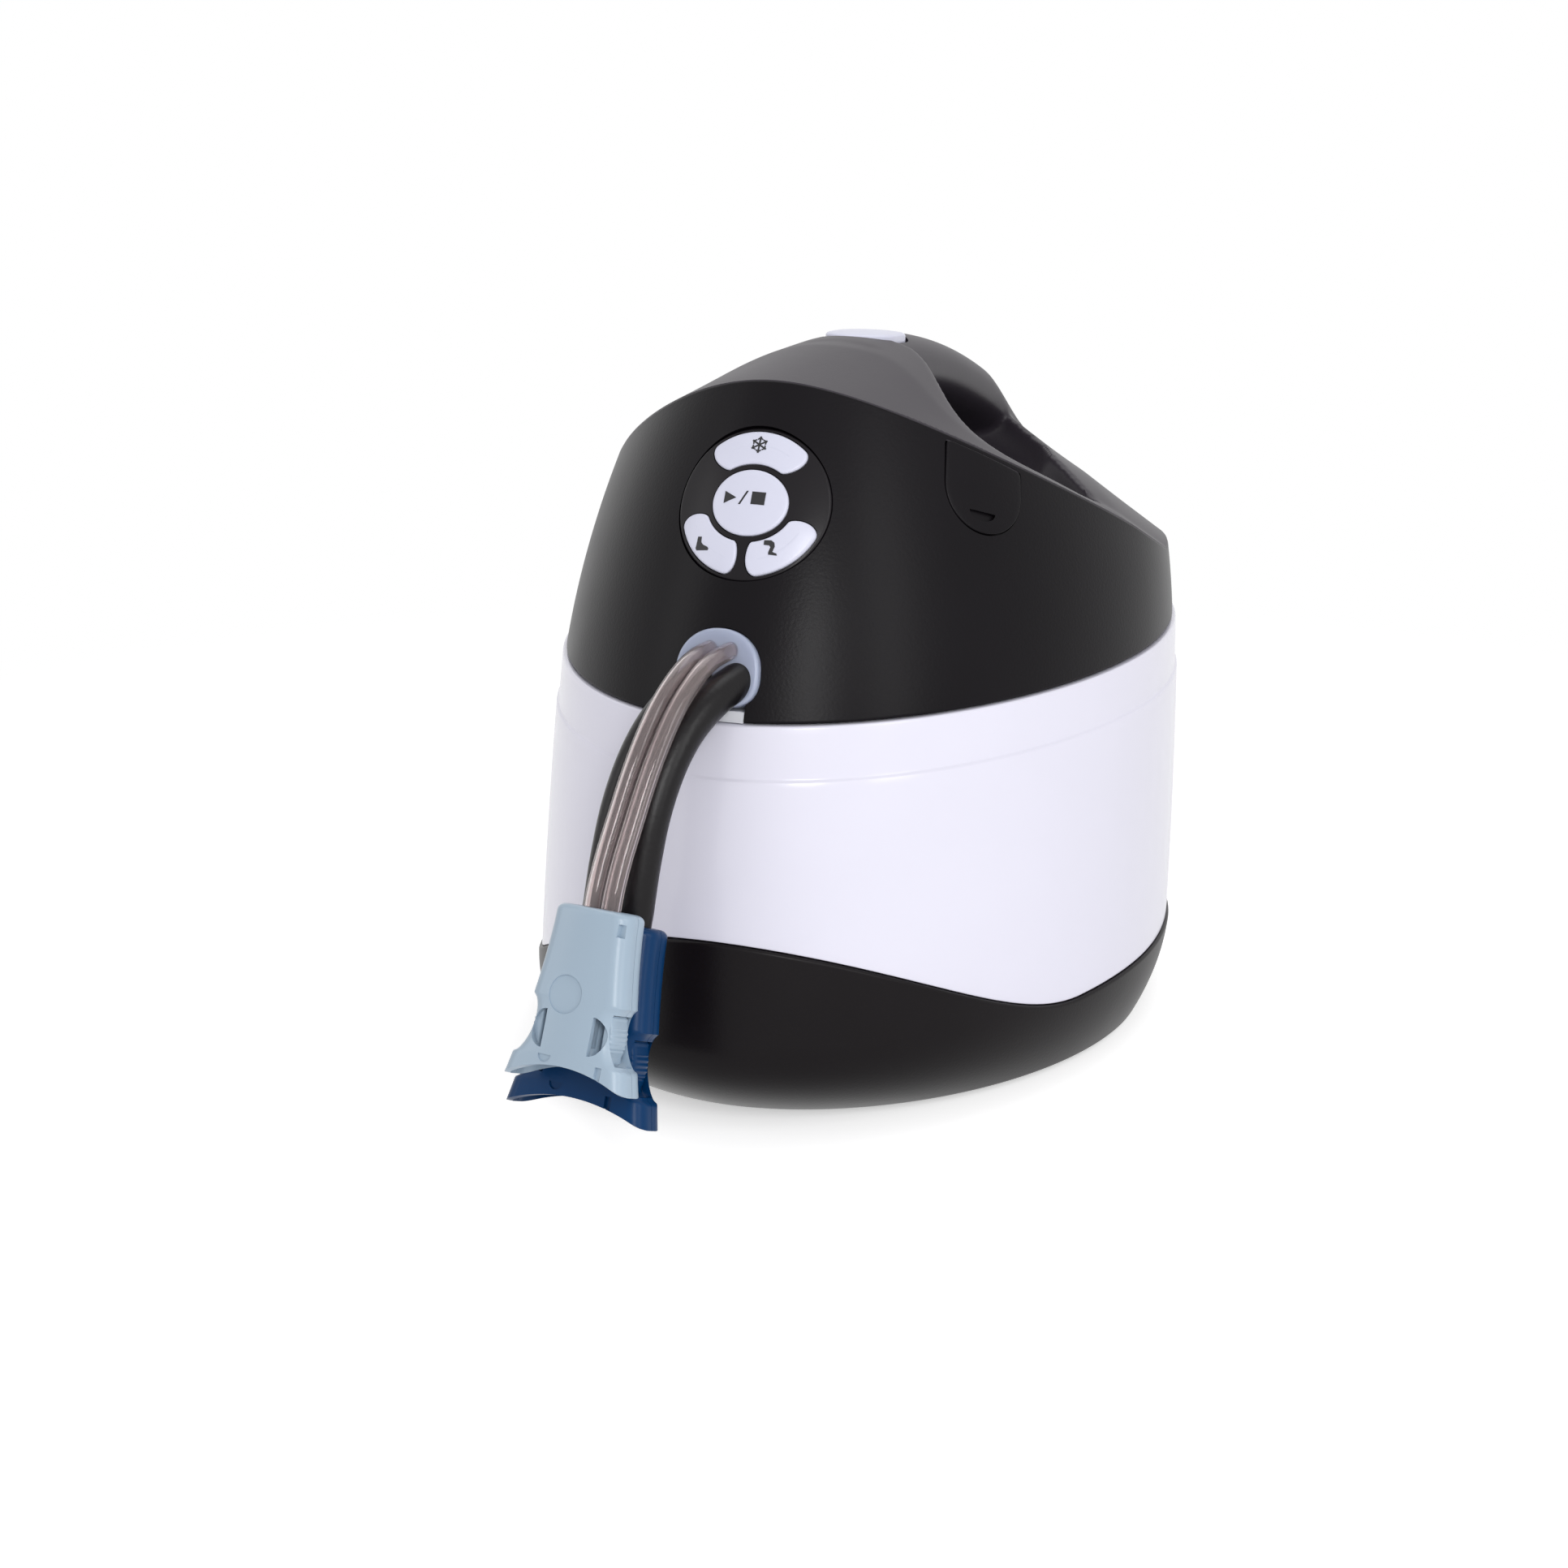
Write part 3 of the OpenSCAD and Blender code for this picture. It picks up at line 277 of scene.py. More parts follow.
def loftGrid(grid, closed=False):
    # a grid of rings joined into one skin, its ends closed by fans to their middles
    rows, cols = grid.shape[:2]
    points = grid.reshape(-1, 3)
    faces = [tuple(f) for f in gridFaces(rows, cols, closeRows=closed)]
    if not closed:
        for row, flip in ((0, True), (rows - 1, False)):
            middle = len(points)
            points = np.vstack([points, grid[row].mean(0)])
            ring = np.arange(cols) + row*cols
            after = np.roll(ring, -1)
            faces += [(middle, b, a) if flip else (middle, a, b) for a, b in zip(ring, after)]
    return points, faces


def join(parts):
    # one list of points and faces from several
    points, faces, count = [], [], 0
    for p, f in parts:
        p = np.asarray(p).reshape(-1, 3)
        points.append(p)
        faces += [tuple(int(i) + count for i in face) for face in f]
        count += len(p)
    return np.vstack(points), faces


def applyModifiers(obj):
    # bakes the modifiers into the mesh
    graph = bpy.context.evaluated_depsgraph_get()
    graph.update()
    done = bpy.data.meshes.new_from_object(obj.evaluated_get(graph))
    old = obj.data
    obj.modifiers.clear()
    obj.data = done
    done.name = obj.name
    bpy.data.meshes.remove(old)


def cutAway(obj, cutter, operation="DIFFERENCE"):
    mod = obj.modifiers.new("cut", "BOOLEAN")
    mod.operation = operation
    mod.solver = "EXACT"
    mod.object = cutter
    applyModifiers(obj)
    bpy.data.objects.remove(cutter)


def outwards(obj):
    # merges doubles and points all faces out of the solid
    work = bmesh.new()
    work.from_mesh(obj.data)
    bmesh.ops.remove_doubles(work, verts=work.verts, dist=1e-7)
    bmesh.ops.recalc_face_normals(work, faces=work.faces)
    if work.calc_volume(signed=True) < 0:
        bmesh.ops.reverse_faces(work, faces=work.faces)
    work.to_mesh(obj.data)
    work.free()


def place(obj, bodyName, material, nodes=()):
    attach(obj, bodyName)
    obj.data.materials.clear()
    obj.data.materials.append(material)
    if nodes:
        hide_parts(*nodes)
    return obj


def finish(name, settings):
    # moulded or metal surface: fine grain in the bump, slow drift in colour and roughness
    s = {"roughDrift": 0.06, "tone": 0.06, "grain": 900, "grainDepth": 0.00004, "wave": 0.0, "specular": 0.5,
         "coat": 0.0, "coatRough": 0.1, "metal": 0.0, "clear": 0.0, "ior": 1.46, "drift": 14, "through": 0.0,
         "stretch": (1, 1, 1)}
    s.update(settings)
    made = bpy.data.materials.new(name)
    made.use_nodes = True
    nodes, links = made.node_tree.nodes, made.node_tree.links
    shader = nodes["Principled BSDF"]
    for socket, key in (("Metallic", "metal"), ("IOR", "ior"), ("Specular IOR Level", "specular"),
                        ("Coat Weight", "coat"), ("Coat Roughness", "coatRough"),
                        ("Transmission Weight", "clear")):
        shader.inputs[socket].default_value = s[key]
    if s["through"]:
        shader.inputs["Subsurface Weight"].default_value = s["through"]
        shader.inputs["Subsurface Radius"].default_value = (1.0, 0.9, 1.0)
        shader.inputs["Subsurface Scale"].default_value = 0.004
    coords = nodes.new("ShaderNodeTexCoord")
    turn = nodes.new("ShaderNodeMapping")
    turn.inputs["Scale"].default_value = s["stretch"]
    links.new(coords.outputs["Object"], turn.inputs["Vector"])

    def noise(vector, scale, detail=2):
        cloud = nodes.new("ShaderNodeTexNoise")
        cloud.inputs["Scale"].default_value = scale
        cloud.inputs["Detail"].default_value = detail
        links.new(vector, cloud.inputs["Vector"])
        return cloud.outputs["Fac"]

    slow, fine = noise(turn.outputs["Vector"], s["drift"], 3), noise(turn.outputs["Vector"], s["grain"])
    tint = nodes.new("ShaderNodeValToRGB")
    dark = [c*(1 - s["tone"]) for c in s["color"]]
    pale = [min(1, c*(1 + s["tone"])) for c in s["color"]]
    tint.color_ramp.elements[0].position, tint.color_ramp.elements[1].position = 0.3, 0.7
    tint.color_ramp.elements[0].color = (*dark, 1)
    tint.color_ramp.elements[1].color = (*pale, 1)
    links.new(slow, tint.inputs["Fac"])
    links.new(tint.outputs["Color"], shader.inputs["Base Color"])
    sheen = nodes.new("ShaderNodeMapRange")
    sheen.inputs["From Min"].default_value, sheen.inputs["From Max"].default_value = 0.3, 0.7
    sheen.inputs["To Min"].default_value = max(0.02, s["rough"] - s["roughDrift"])
    sheen.inputs["To Max"].default_value = s["rough"] + s["roughDrift"]
    links.new(slow, sheen.inputs["Value"])
    links.new(sheen.outputs["Result"], shader.inputs["Roughness"])
    bump = nodes.new("ShaderNodeBump")
    bump.inputs["Strength"].default_value = 0.6
    bump.inputs["Distance"].default_value = s["grainDepth"]
    height = fine
    if s["wave"]:
        both = nodes.new("ShaderNodeMath")
        both.operation = "MULTIPLY_ADD"
        both.inputs[1].default_value = s["wave"]
        links.new(noise(coords.outputs["Object"], 38), both.inputs[0])
        links.new(fine, both.inputs[2])
        height = both.outputs[0]
    links.new(height, bump.inputs["Height"])
    links.new(bump.outputs["Normal"], shader.inputs["Normal"])
    return made


finishes = {
    "housingBlack": {"color": (0.005, 0.004, 0.0055), "rough": 0.34, "roughDrift": 0.03,
        "specular": 0.13, "grainDepth": 0.00009, "tone": 0.12},
    "coverGrey": {"color": (0.03, 0.025, 0.033), "rough": 0.42, "roughDrift": 0.03, "specular": 0.3,
        "grain": 1300, "grainDepth": 0.00006, "tone": 0.08},
    "trimBlack": {"color": (0.006, 0.0045, 0.0055), "rough": 0.32, "roughDrift": 0.04, "specular": 0.16,
        "grain": 1000, "grainDepth": 0.00007, "tone": 0.12},
    "padBlack": {"color": (0.008, 0.0065, 0.0085), "rough": 0.3, "roughDrift": 0.03, "specular": 0.22,
        "grain": 1500},
    "tubWhite": {"color": (0.8, 0.79, 0.9), "rough": 0.22, "roughDrift": 0.04, "grain": 600,
        "grainDepth": 0.00002, "tone": 0.012, "wave": 1.2, "coat": 0.25, "coatRough": 0.12},
    "linerWhite": {"color": (0.78, 0.79, 0.84), "rough": 0.3, "grain": 700, "grainDepth": 0.00002,
        "tone": 0.015},
    "foamCream": {"color": (0.8, 0.74, 0.55), "rough": 0.9, "grain": 420, "grainDepth": 0.0004,
        "tone": 0.1, "specular": 0.2},
    "keyWhite": {"color": (0.69, 0.7, 0.83), "rough": 0.32, "roughDrift": 0.03, "grain": 1200,
        "grainDepth": 0.00002, "tone": 0.012},
    "keyInk": {"color": (0.012, 0.012, 0.014), "rough": 0.5, "grain": 1500, "grainDepth": 0.00002},
    "rubberBlack": {"color": (0.02, 0.02, 0.021), "rough": 0.65, "grainDepth": 0.00012},
    "gasketGrey": {"color": (0.2, 0.21, 0.22), "rough": 0.6, "grainDepth": 0.00006},
    "hoseMouth": {"color": (0.44, 0.49, 0.64), "rough": 0.26, "grainDepth": 0.00003, "tone": 0.03,
        "through": 0.5, "clear": 0.15},
    "connectorGrey": {"color": (0.36, 0.46, 0.56), "rough": 0.3, "roughDrift": 0.03, "grain": 1100,
        "grainDepth": 0.00005, "tone": 0.03},
    "connectorBlue": {"color": (0.001, 0.034, 0.115), "rough": 0.3, "roughDrift": 0.03, "specular": 0.18,
        "grain": 1100, "grainDepth": 0.00005, "tone": 0.06},
    "steelPlate": {"color": (0.6, 0.6, 0.62), "rough": 0.3, "metal": 1.0, "grain": 500,
        "grainDepth": 0.00003, "stretch": (1, 8, 1)},
    "castMetal": {"color": (0.5, 0.51, 0.53), "rough": 0.45, "metal": 1.0, "grain": 700,
        "grainDepth": 0.0001},
    "copperWire": {"color": (0.62, 0.3, 0.14), "rough": 0.35, "metal": 1.0, "grainDepth": 0.0001,
        "stretch": (10, 1, 1)},
    "boardGreen": {"color": (0.012, 0.09, 0.035), "rough": 0.35, "grain": 800},
    "nylonCream": {"color": (0.62, 0.6, 0.5), "rough": 0.45},
    "mouldedGrey": {"color": (0.6, 0.62, 0.65), "rough": 0.4},
    "pumpGrey": {"color": (0.06, 0.07, 0.085), "rough": 0.45, "grain": 800, "grainDepth": 0.00008},
    "impellerRust": {"color": (0.45, 0.1, 0.02), "rough": 0.4},
    "sleeveBlack": {"color": (0.006, 0.005, 0.006), "rough": 0.36, "specular": 0.28, "roughDrift": 0.08,
        "grain": 420, "grainDepth": 0.00022, "tone": 0.2, "wave": 0.8},
    "airTube": {"color": (0.76, 0.68, 0.68), "rough": 0.05, "roughDrift": 0.02, "grain": 300,
        "grainDepth": 0.00001, "tone": 0.03, "clear": 0.92, "ior": 1.38},
}
look = {name: finish(name, settings) for name, settings in finishes.items()}
print("materials made:", len(look))

# hoses
mouth = np.array([-2.5, skin(-math.pi/2, body["splitZ"] + 17.5)[1], body["splitZ"] + 13.5])
hoses = {
    "plugTurn": (-20, -10), "blockTop": -11,
    "air": {
        "diameter": 6.4, "gap": 7.6, "plugAt": (-15.5, -67, -64.5), "sides": 28,
        "route": [[0.8, 4, 10.7], [0, 0, 10.6], [-1.6, -7.5, 9.8], [-3.1, -15, 7.4], [-4.6, -22.3, 3.4],
                  [-6.1, -29.4, -1.9], [-7.6, -36, -8.7], [-9, -42, -16.3], [-10.4, -47.2, -24.4],
                  [-11.6, -51.8, -32.4], [-12.7, -56, -40], [-13.7, -59.8, -47], [-14.5, -62.8, -53.4],
                  [-15.1, -65.3, -59.3]]},
    "water": {
        "diameter": 13, "gap": 13.7, "plugAt": (-18, -50, -74.5), "sides": 36,
        "route": [[1.2, 4, 1], [0, 0, 0], [-1.9, -6.3, -1.7], [-4, -12.6, -4.3], [-6.3, -18.9, -8],
                  [-8.5, -24.8, -12.8], [-10.5, -30.2, -19], [-12.2, -34.8, -26], [-13.6, -38.6, -33.5],
                  [-14.7, -41.6, -41], [-15.6, -44, -49], [-16.4, -46.1, -57], [-17, -47.6, -64],
                  [-17.5, -48.8, -70]]},
}


def plugDown():
    a, c = (math.radians(v) for v in hoses["plugTurn"])
    return np.array([-math.sin(a)*math.sin(c), math.sin(a)*math.cos(c), -math.cos(a)])


def hoseCentre(kind, side):
    # the middle of the pair shifted sideways, across the way it runs
    h = hoses[kind]
    route = np.array(h["route"], float)
    n = len(route) + 1
    first = route[1] - route[0]
    yaw0, yaw1 = math.atan2(first[0], -first[1]), math.radians(hoses["plugTurn"][1])
    yaw = yaw0 + (yaw1 - yaw0)*np.append(np.arange(n - 1)/n, [1, 1])
    plug = mouth + np.array(h["plugAt"])
    line = np.vstack([mouth + route, plug, plug - hoses["blockTop"]*plugDown()])
    return line + side*h["gap"]/2*np.stack([np.cos(yaw), np.sin(yaw), 0*yaw], -1)


def smoothLine(line, per):
    # Catmull-Rom through the points, 'per' steps between neighbours
    ends = np.vstack([2*line[0] - line[1], line, 2*line[-1] - line[-2]])
    u = np.linspace(0, 1, per, endpoint=False)[None, :, None]
    a, b, c, d = (ends[i:len(line) - 1 + i][:, None] for i in range(4))
    curve = 0.5*(2*b + (c - a)*u + (2*a - 5*b + 4*c - d)*u**2 + (3*b - a - 3*c + d)*u**3)
    return np.vstack([curve.reshape(-1, 3), line[-1]])


def tubeGrid(line, radius, sides):
    # circles across the path; the frame's first axis stays level
    tangent = np.gradient(line, axis=0)
    tangent /= np.linalg.norm(tangent, axis=1, keepdims=True)
    first = np.cross([1.0, 0, 0], tangent)
    first /= np.linalg.norm(first, axis=1, keepdims=True)
    second = np.cross(tangent, first)
    angle = ringAngles(sides)
    radius = np.broadcast_to(np.asarray(radius, float), len(line))[:, None, None]
    c, sn = np.cos(angle)[None, :, None], np.sin(angle)[None, :, None]
    return line[:, None] + radius*(first[:, None]*c + second[:, None]*sn)


hosePieces, hoseLengths = {}, {}
for kind in ("air", "water"):
    for side, sideName in ((-1, "left"), (1, "right")):
        h = hoses[kind]
        line = smoothLine(hoseCentre(kind, side), 6)
        outer = tubeGrid(line, h["diameter"]/2, h["sides"])
        if kind == "air":  # clear wall round an open bore
            inner = tubeGrid(line, h["diameter"]/2 - 1.0, h["sides"])[::-1]
            tube = loftGrid(np.concatenate([outer, inner]), closed=True)
        else:
            tube = loftGrid(outer)
        name = kind + "Hose" + sideName.capitalize()
        obj = piece(name, *tube, angle=60)
        outwards(obj)
        lookFor(obj.data, 60)
        node = f"{kind}_hose_{sideName}"
        place(obj, "lid",
              look["airTube" if kind == "air" else "sleeveBlack"], [node])
        length = float(np.linalg.norm(np.diff(line, axis=0), axis=1).sum())
        hosePieces[node], hoseLengths[node] = (obj, line), round(length, 1)
print("hoses:", hoseLengths)

# tub and base trim
tubShape = {"columns": 300, "collarH": 18, "collarStep": 0.8, "wall": 3, "trimFloor": 5.7, "recess": 2.6,
            "seam": 0.35}
trimShape = {"columns": 300, "proud": 1.2, "wall": 3.2, "footH": 2.5, "lip": 1.0}


def tubSurface(s):
    # rows run up the outside from the recess to the top, over the rim and down the inside
    t = ringAngles(s["columns"])
    wave, top, line = waveZ(t) + s["seam"], body["splitZ"], body["splitZ"] - s["collarH"]
    rows = [skin(t, mix(s["trimFloor"], wave - 0.5, u), s["recess"]) for u in np.linspace(0, 1, 14)]
    rows += [skin(t, wave + 0.5*(1 - math.cos(a)), 0.5*(1 - math.sin(a)))
             for a in np.linspace(0, math.pi/2, 5)]
    rows += [skin(t, mix(wave + 0.7, line - 1.2, u), 0) for u in np.linspace(0, 1, 26)]
    step = s["collarStep"]
    rows += [skin(t, line - 1.2 + 1.2*u, step*ease(u)) for u in np.linspace(0.15, 1, 7)]
    rows += [skin(t, mix(line + 0.6, top - 0.8, u), step) for u in np.linspace(0, 1, 8)]
    rows += [skin(t, top - 0.8*(1 - math.sin(a)), step + 0.8*(1 - math.cos(a)))
             for a in np.linspace(0.2, math.pi/2, 5)]
    inside = step + s["wall"]
    rows += [skin(t, top, inside), skin(t, line, inside), skin(t, body["waveFront"] + 6, inside),
             skin(t, body["waveFront"], s["recess"] + 3), skin(t, 30, s["recess"] + 3),
             skin(t, s["trimFloor"] + 3, s["recess"] + 3)]
    return np.stack(rows)


tubShell = piece("tubShell", *loftGrid(tubSurface(tubShape)), angle=50)
place(tubShell, "tub", look["tubWhite"], ["tub_shell"])


def trimSurface(s):
    # outside up from the floor edge to the wave, a rounded lip, then down the inside
    t = ringAngles(s["columns"])
    wave, out, r = waveZ(t), -s["proud"], s["lip"]
    rows = [skin(t, s["footH"] + 1.6*(1 - math.cos(a)), out + 1.6*(1 - math.sin(a)))
            for a in np.linspace(0, math.pi/2, 6)]
    rows += [skin(t, mix(s["footH"] + 2, wave - r - 0.4, u), out) for u in np.linspace(0, 1, 30)]
    rows += [skin(t, wave - r*(1 - math.sin(a)), out + r*(1 - math.cos(a)))
             for a in np.linspace(0, math.pi/2, 7)]
    rows += [skin(t, mix(wave, 5.7, u), s["wall"] - s["proud"]) for u in (0, 0.3, 0.6, 0.8, 1)]
    return np.stack(rows)


baseTrim = piece("baseTrim", *loftGrid(trimSurface(trimShape)), angle=50)
place(baseTrim, "tub", look["trimBlack"], ["base_trim"])
print("tub and trim made")

# pump housing
housingShape = {"columns": 360, "wall": 3, "gap": 0.4, "lipLow": 1.2, "lipTop": 0.55,
                "padR": 28.35, "padZ": 72, "padTilt": 28}
padAt = skin(-math.pi/2, body["splitZ"] + housingShape["padZ"])
padTurn = math.radians(90 - housingShape["padTilt"])


def turnX(angle):
    c, s = math.cos(angle), math.sin(angle)
    return np.array([[1, 0, 0], [0, c, -s], [0, s, c]])


def turnZ(angle):
    c, s = math.cos(angle), math.sin(angle)
    return np.array([[c, -s, 0], [s, c, 0], [0, 0, 1]])


# in each frame u runs right, v up the skin and n out of it
padFrame = (padAt, turnX(padTurn))
gromZ = body["splitZ"] + 18
gromFrame = (np.array([mouth[0], skin(-math.pi/2, gromZ)[1], gromZ]), turnX(math.radians(72)))
portShape = {"around": -40.5, "up": 74, "turn": 59.5, "tilt": 66.5, "roll": -20, "halfW": 17, "low": -2,
             "topRight": 7.5, "topLeft": 12.5, "corner": 2.2}
portFrame = (skin(math.radians(portShape["around"]), body["splitZ"] + portShape["up"]),
             turnZ(math.radians(portShape["turn"])) @ turnX(math.radians(portShape["tilt"])))


def toWorld(local, spot):
    return np.asarray(local) @ spot[1].T + spot[0]


def pieceIn(spot, name, points, faces, angle=40):
    # a piece whose points are given in a frame of its own
    obj = piece(name, toWorld(points, spot), faces, angle)
    outwards(obj)
    return obj


def prism(name, outline, low, high, spot):
    # a closed outline carried straight along the frame's normal
    outline = np.asarray(outline, float)
    grid = np.stack([np.c_[outline, np.full(len(outline), n)] for n in (low, high)])
    return pieceIn(spot, name, *loftGrid(grid))


def circleLine(r, n, at=(0, 0)):
    a = ringAngles(n)
    return np.c_[at[0] + r*np.cos(a), at[1] + r*np.sin(a)]


archShape = {"halfW": 15.3, "narrowing": 2, "halfH": 13.6, "up": 0.4}


def archLine(grow):
    # rounded arch, widest low down
    s, a = archShape, ringAngles(144)
    c, sn = np.cos(a), np.sin(a)
    x = (s["halfW"] - s["narrowing"]*sn + grow)*np.sign(c)*np.abs(c)**(0.75 + 0.15*sn)
    return np.c_[x, s["up"] + (s["halfH"] + grow)*np.sign(sn)*np.abs(sn)**0.85]


def rolled(line):
    a = math.radians(portShape["roll"])
    return np.asarray(line, float) @ np.array([[math.cos(a), math.sin(a)], [-math.sin(a), math.cos(a)]])


def softCorner(before, corner, after, r):
    # swaps a corner for a short curve between the edges that meet there
    before, corner, after = (np.asarray(p, float) for p in (before, corner, after))
    a = corner + r*(before - corner)/np.linalg.norm(before - corner)
    b = corner + r*(after - corner)/np.linalg.norm(after - corner)
    k = np.linspace(0, 1, 9)[:, None]
    return (1 - k)**2*a + 2*k*(1 - k)*corner + k*k*b


def portLine(grow, n=48):
    # half round below, an edge above that rises to the left, all rolled to stand upright
    s = portShape
    w, r = s["halfW"] + grow, s["corner"]
    a = np.linspace(math.pi, 2*math.pi, n)
    right, left = (w, s["topRight"] + grow), (-w, s["topLeft"] + grow)
    return rolled(np.vstack([np.c_[w*np.cos(a), s["low"] + w*np.sin(a)],
                             softCorner((w, s["low"]), right, left, r),
                             softCorner(right, left, (-w, s["low"]), r)]))


def housingSurface(s):
    # up the outside from a rounded foot to a small lip at the crease, then down the inside
    t = ringAngles(s["columns"])
    low, top = body["splitZ"] + s["gap"], creaseZ(t)
    a, b = s["lipLow"], s["lipTop"]
    rows = [skin(t, low + a*(1 - math.cos(k)), a*(1 - math.sin(k))) for k in np.linspace(0, math.pi/2, 6)]
    rows += [skin(t, mix(low + a + 0.2, top - b - 0.2, u), 0) for u in np.linspace(0, 1, 44)]
    rows += [skin(t, top - b*(1 - math.sin(k)), b*(1 - math.cos(k))) for k in np.linspace(0, math.pi/2, 5)]
    rows += [skin(t, mix(top, low, u), s["wall"]) for u in np.linspace(0, 1, 12)]
    return np.stack(rows)


lidHousing = piece("lidHousing", *loftGrid(housingSurface(housingShape), closed=True), angle=50)
outwards(lidHousing)
cutAway(lidHousing, prism("padCut", circleLine(housingShape["padR"], 128), -20, 20, padFrame))
cutAway(lidHousing, prism("mouthCut", archLine(0.35), -16, 14, gromFrame))
slotLine = [(-11.5, -34), (11.5, -34), (11.5, -8), (-11.5, -8)]
cutAway(lidHousing, prism("slotCut", slotLine, -16, 14, gromFrame))
cutAway(lidHousing, prism("portCut", portLine(0.45), -2.2, 12, portFrame))
cutAway(lidHousing, prism("jackCut", circleLine(6.6, 48, (0, portShape["low"])), -14, 4, portFrame))
lookFor(lidHousing.data, 35)
place(lidHousing, "lid", look["housingBlack"], ["lid_housing"])
print("housing made:", len(lidHousing.data.polygons), "faces")

# top cover with hood, bowl, dome and handle
coverShape = {"columns": 300, "reach": 4, "voxel": 1.3, "barW": 40, "barT": 24, "smooth": 10, "floorZ": 188,
              "wall": 3, "buttonW": 27, "buttonL": 36, "buttonY": 1.3, "pocket": 9,
              "lift": ((0, 0.35, 0.65, 1), (0, 0.01, 0.02, 0))}


def floorLine(t, k=1.0):
    return 52*k*np.cos(t), body["midY"] + 41 + 38*k*np.sin(t)


def coverSolid(s):
    # rings from the bowl's underside out to the crease, over the hood and down the bowl's wall to its floor
    t = ringAngles(s["columns"])
    edge, rim, up = skin(t, creaseZ(t) + 0.3), rimPoint(t), np.array([0, 0, 1.0])
    far = np.linalg.norm(rim - edge, axis=1, keepdims=True)
    fx, fy = floorLine(t)

    def wall(stepIn, low, drop=0.0):
        # in from the rim toward the floor's outline, and part of the way down
        away = np.hypot(fx - rim[:, 0], fy - rim[:, 1])
        u = np.minimum(stepIn*(1 + 1.5*np.maximum(np.sin(t), 0))/away, 1)
        z = mix(rim[:, 2], s["floorZ"], low) - drop
        return np.stack([mix(rim[:, 0], fx, u), mix(rim[:, 1], fy, u), z], -1)

    def flat(k, z):
        x, y = floorLine(t, k)
        return np.stack([x, y, np.full(len(t), z)], -1)

    def band(u):
        return mix(edge, rim, u) + up*np.interp(u, *s["lift"])*far

    out = edge - band(0.1)
    out = edge + out/np.linalg.norm(out, axis=1, keepdims=True)*s["reach"]
    rows = [flat(k, s["floorZ"] - s["wall"]) for k in (0.3, 0.6, 1)]
    rows += [wall(5, 1, s["wall"] + 0.2), rimPoint(t, 0.95) - up*9, skin(t, creaseZ(t) - 2.5, 3.6),
             skin(t, creaseZ(t) - 1.4, 3.4), out - up*2.0, out]
    rows += [band(u) for u in np.linspace(0, 1, 24)]
    roll = ((0.6, 0.06), (1.4, 0.24), (2.5, 0.5), (4, 0.7), (6, 0.85), (8.5, 0.95), (12, 1))
    rows += [wall(*w) for w in roll]
    rows += [flat(k, s["floorZ"]) for k in (1, 0.6, 0.3)]
    return loftGrid(np.stack(rows))


def barSolid(s):
    # rounded sections along the ridge line, sinking into the hood and the dome at their ends
    d = np.linspace(-72, 134, 110)
    y = body["midY"] + d
    a = ringAngles(72)
    c, sn = np.cos(a), np.sin(a)
    half = s["barW"]/2 + 5*ease((-d - 6)/40) + 2*ease((d - 96)/36)
    x = -half[:, None]*np.sign(c)*np.abs(c)**0.85
    sink = 4*ease((-d - 34)/36) + 9*ease((d - 92)/40)
    z = (ridgeZ(y) - s["barT"]/2 - sink)[:, None] + s["barT"]/2*np.sign(sn)*np.abs(sn)**0.95
    return loftGrid(np.stack([x, np.broadcast_to(y[:, None], x.shape), z], -1))


topCover = piece("topCover", *join([coverSolid(coverShape), barSolid(coverShape)]))
outwards(topCover)
remesh = topCover.modifiers.new("remesh", "REMESH")
remesh.mode = "VOXEL"
remesh.voxel_size = coverShape["voxel"]*mm
soften = topCover.modifiers.new("soften", "SMOOTH")
soften.factor = 0.5
soften.iterations = coverShape["smooth"]
applyModifiers(topCover)
wrapRings = np.stack([skin(ringAngles(300), np.full(300, z), 0.2)
                      for z in np.linspace(body["splitZ"] + 3, 320, 60)])
wrap = piece("skinWrap", *loftGrid(wrapRings))
outwards(wrap)
cutAway(topCover, wrap, "INTERSECT")


def stadiumLine(w, l, n=24):
    r = w/2
    a = np.linspace(0, math.pi, n)
    half = np.c_[r*np.cos(a), (l - w)/2 + r*np.sin(a)]
    return np.vstack([half, -half])


buttonZ = float(ridgeZ(coverShape["buttonY"]))
topFrame = (np.array([0, coverShape["buttonY"], 0]), np.eye(3))
cutAway(topCover, prism("pocketCut", stadiumLine(coverShape["buttonW"] + 2.2, coverShape["buttonL"] + 2.2),
                        buttonZ - coverShape["pocket"], buttonZ + 20, topFrame))
lookFor(topCover.data, 42)
place(topCover, "lid", look["coverGrey"], ["top_cover"])
print("top cover made:", len(topCover.data.polygons), "faces")

# release button
releaseShape = {"rise": 0.48}


def releaseSurface():
    # stadium rings that close over a crown following the handle's top
    base = stadiumLine(coverShape["buttonW"], coverShape["buttonL"], 36)
    rows = [(-5.4, 1.0), (-2.0, 1.0), (-0.9, 1.0), (-0.45, 0.985), (-0.12, 0.96), (0.08, 0.92)]
    rows += [(0.1 + releaseShape["rise"]*(1 - k*k), k) for k in (0.85, 0.7, 0.5, 0.3, 0.12)]
    grid = []
    for z, k in rows:
        y = coverShape["buttonY"] + base[:, 1]*k
        follow = ridgeZ(y) if z > -1.5 else np.full(len(base), buttonZ)
        grid.append(np.stack([base[:, 0]*k, y, follow + z + 0.3 - 0.0024*(base[:, 0]*k)**2], -1))
    return loftGrid(np.stack(grid))


releaseButton = piece("releaseButton", *releaseSurface(), angle=50)
outwards(releaseButton)
place(releaseButton, "release", look["keyWhite"], ["release_button"])

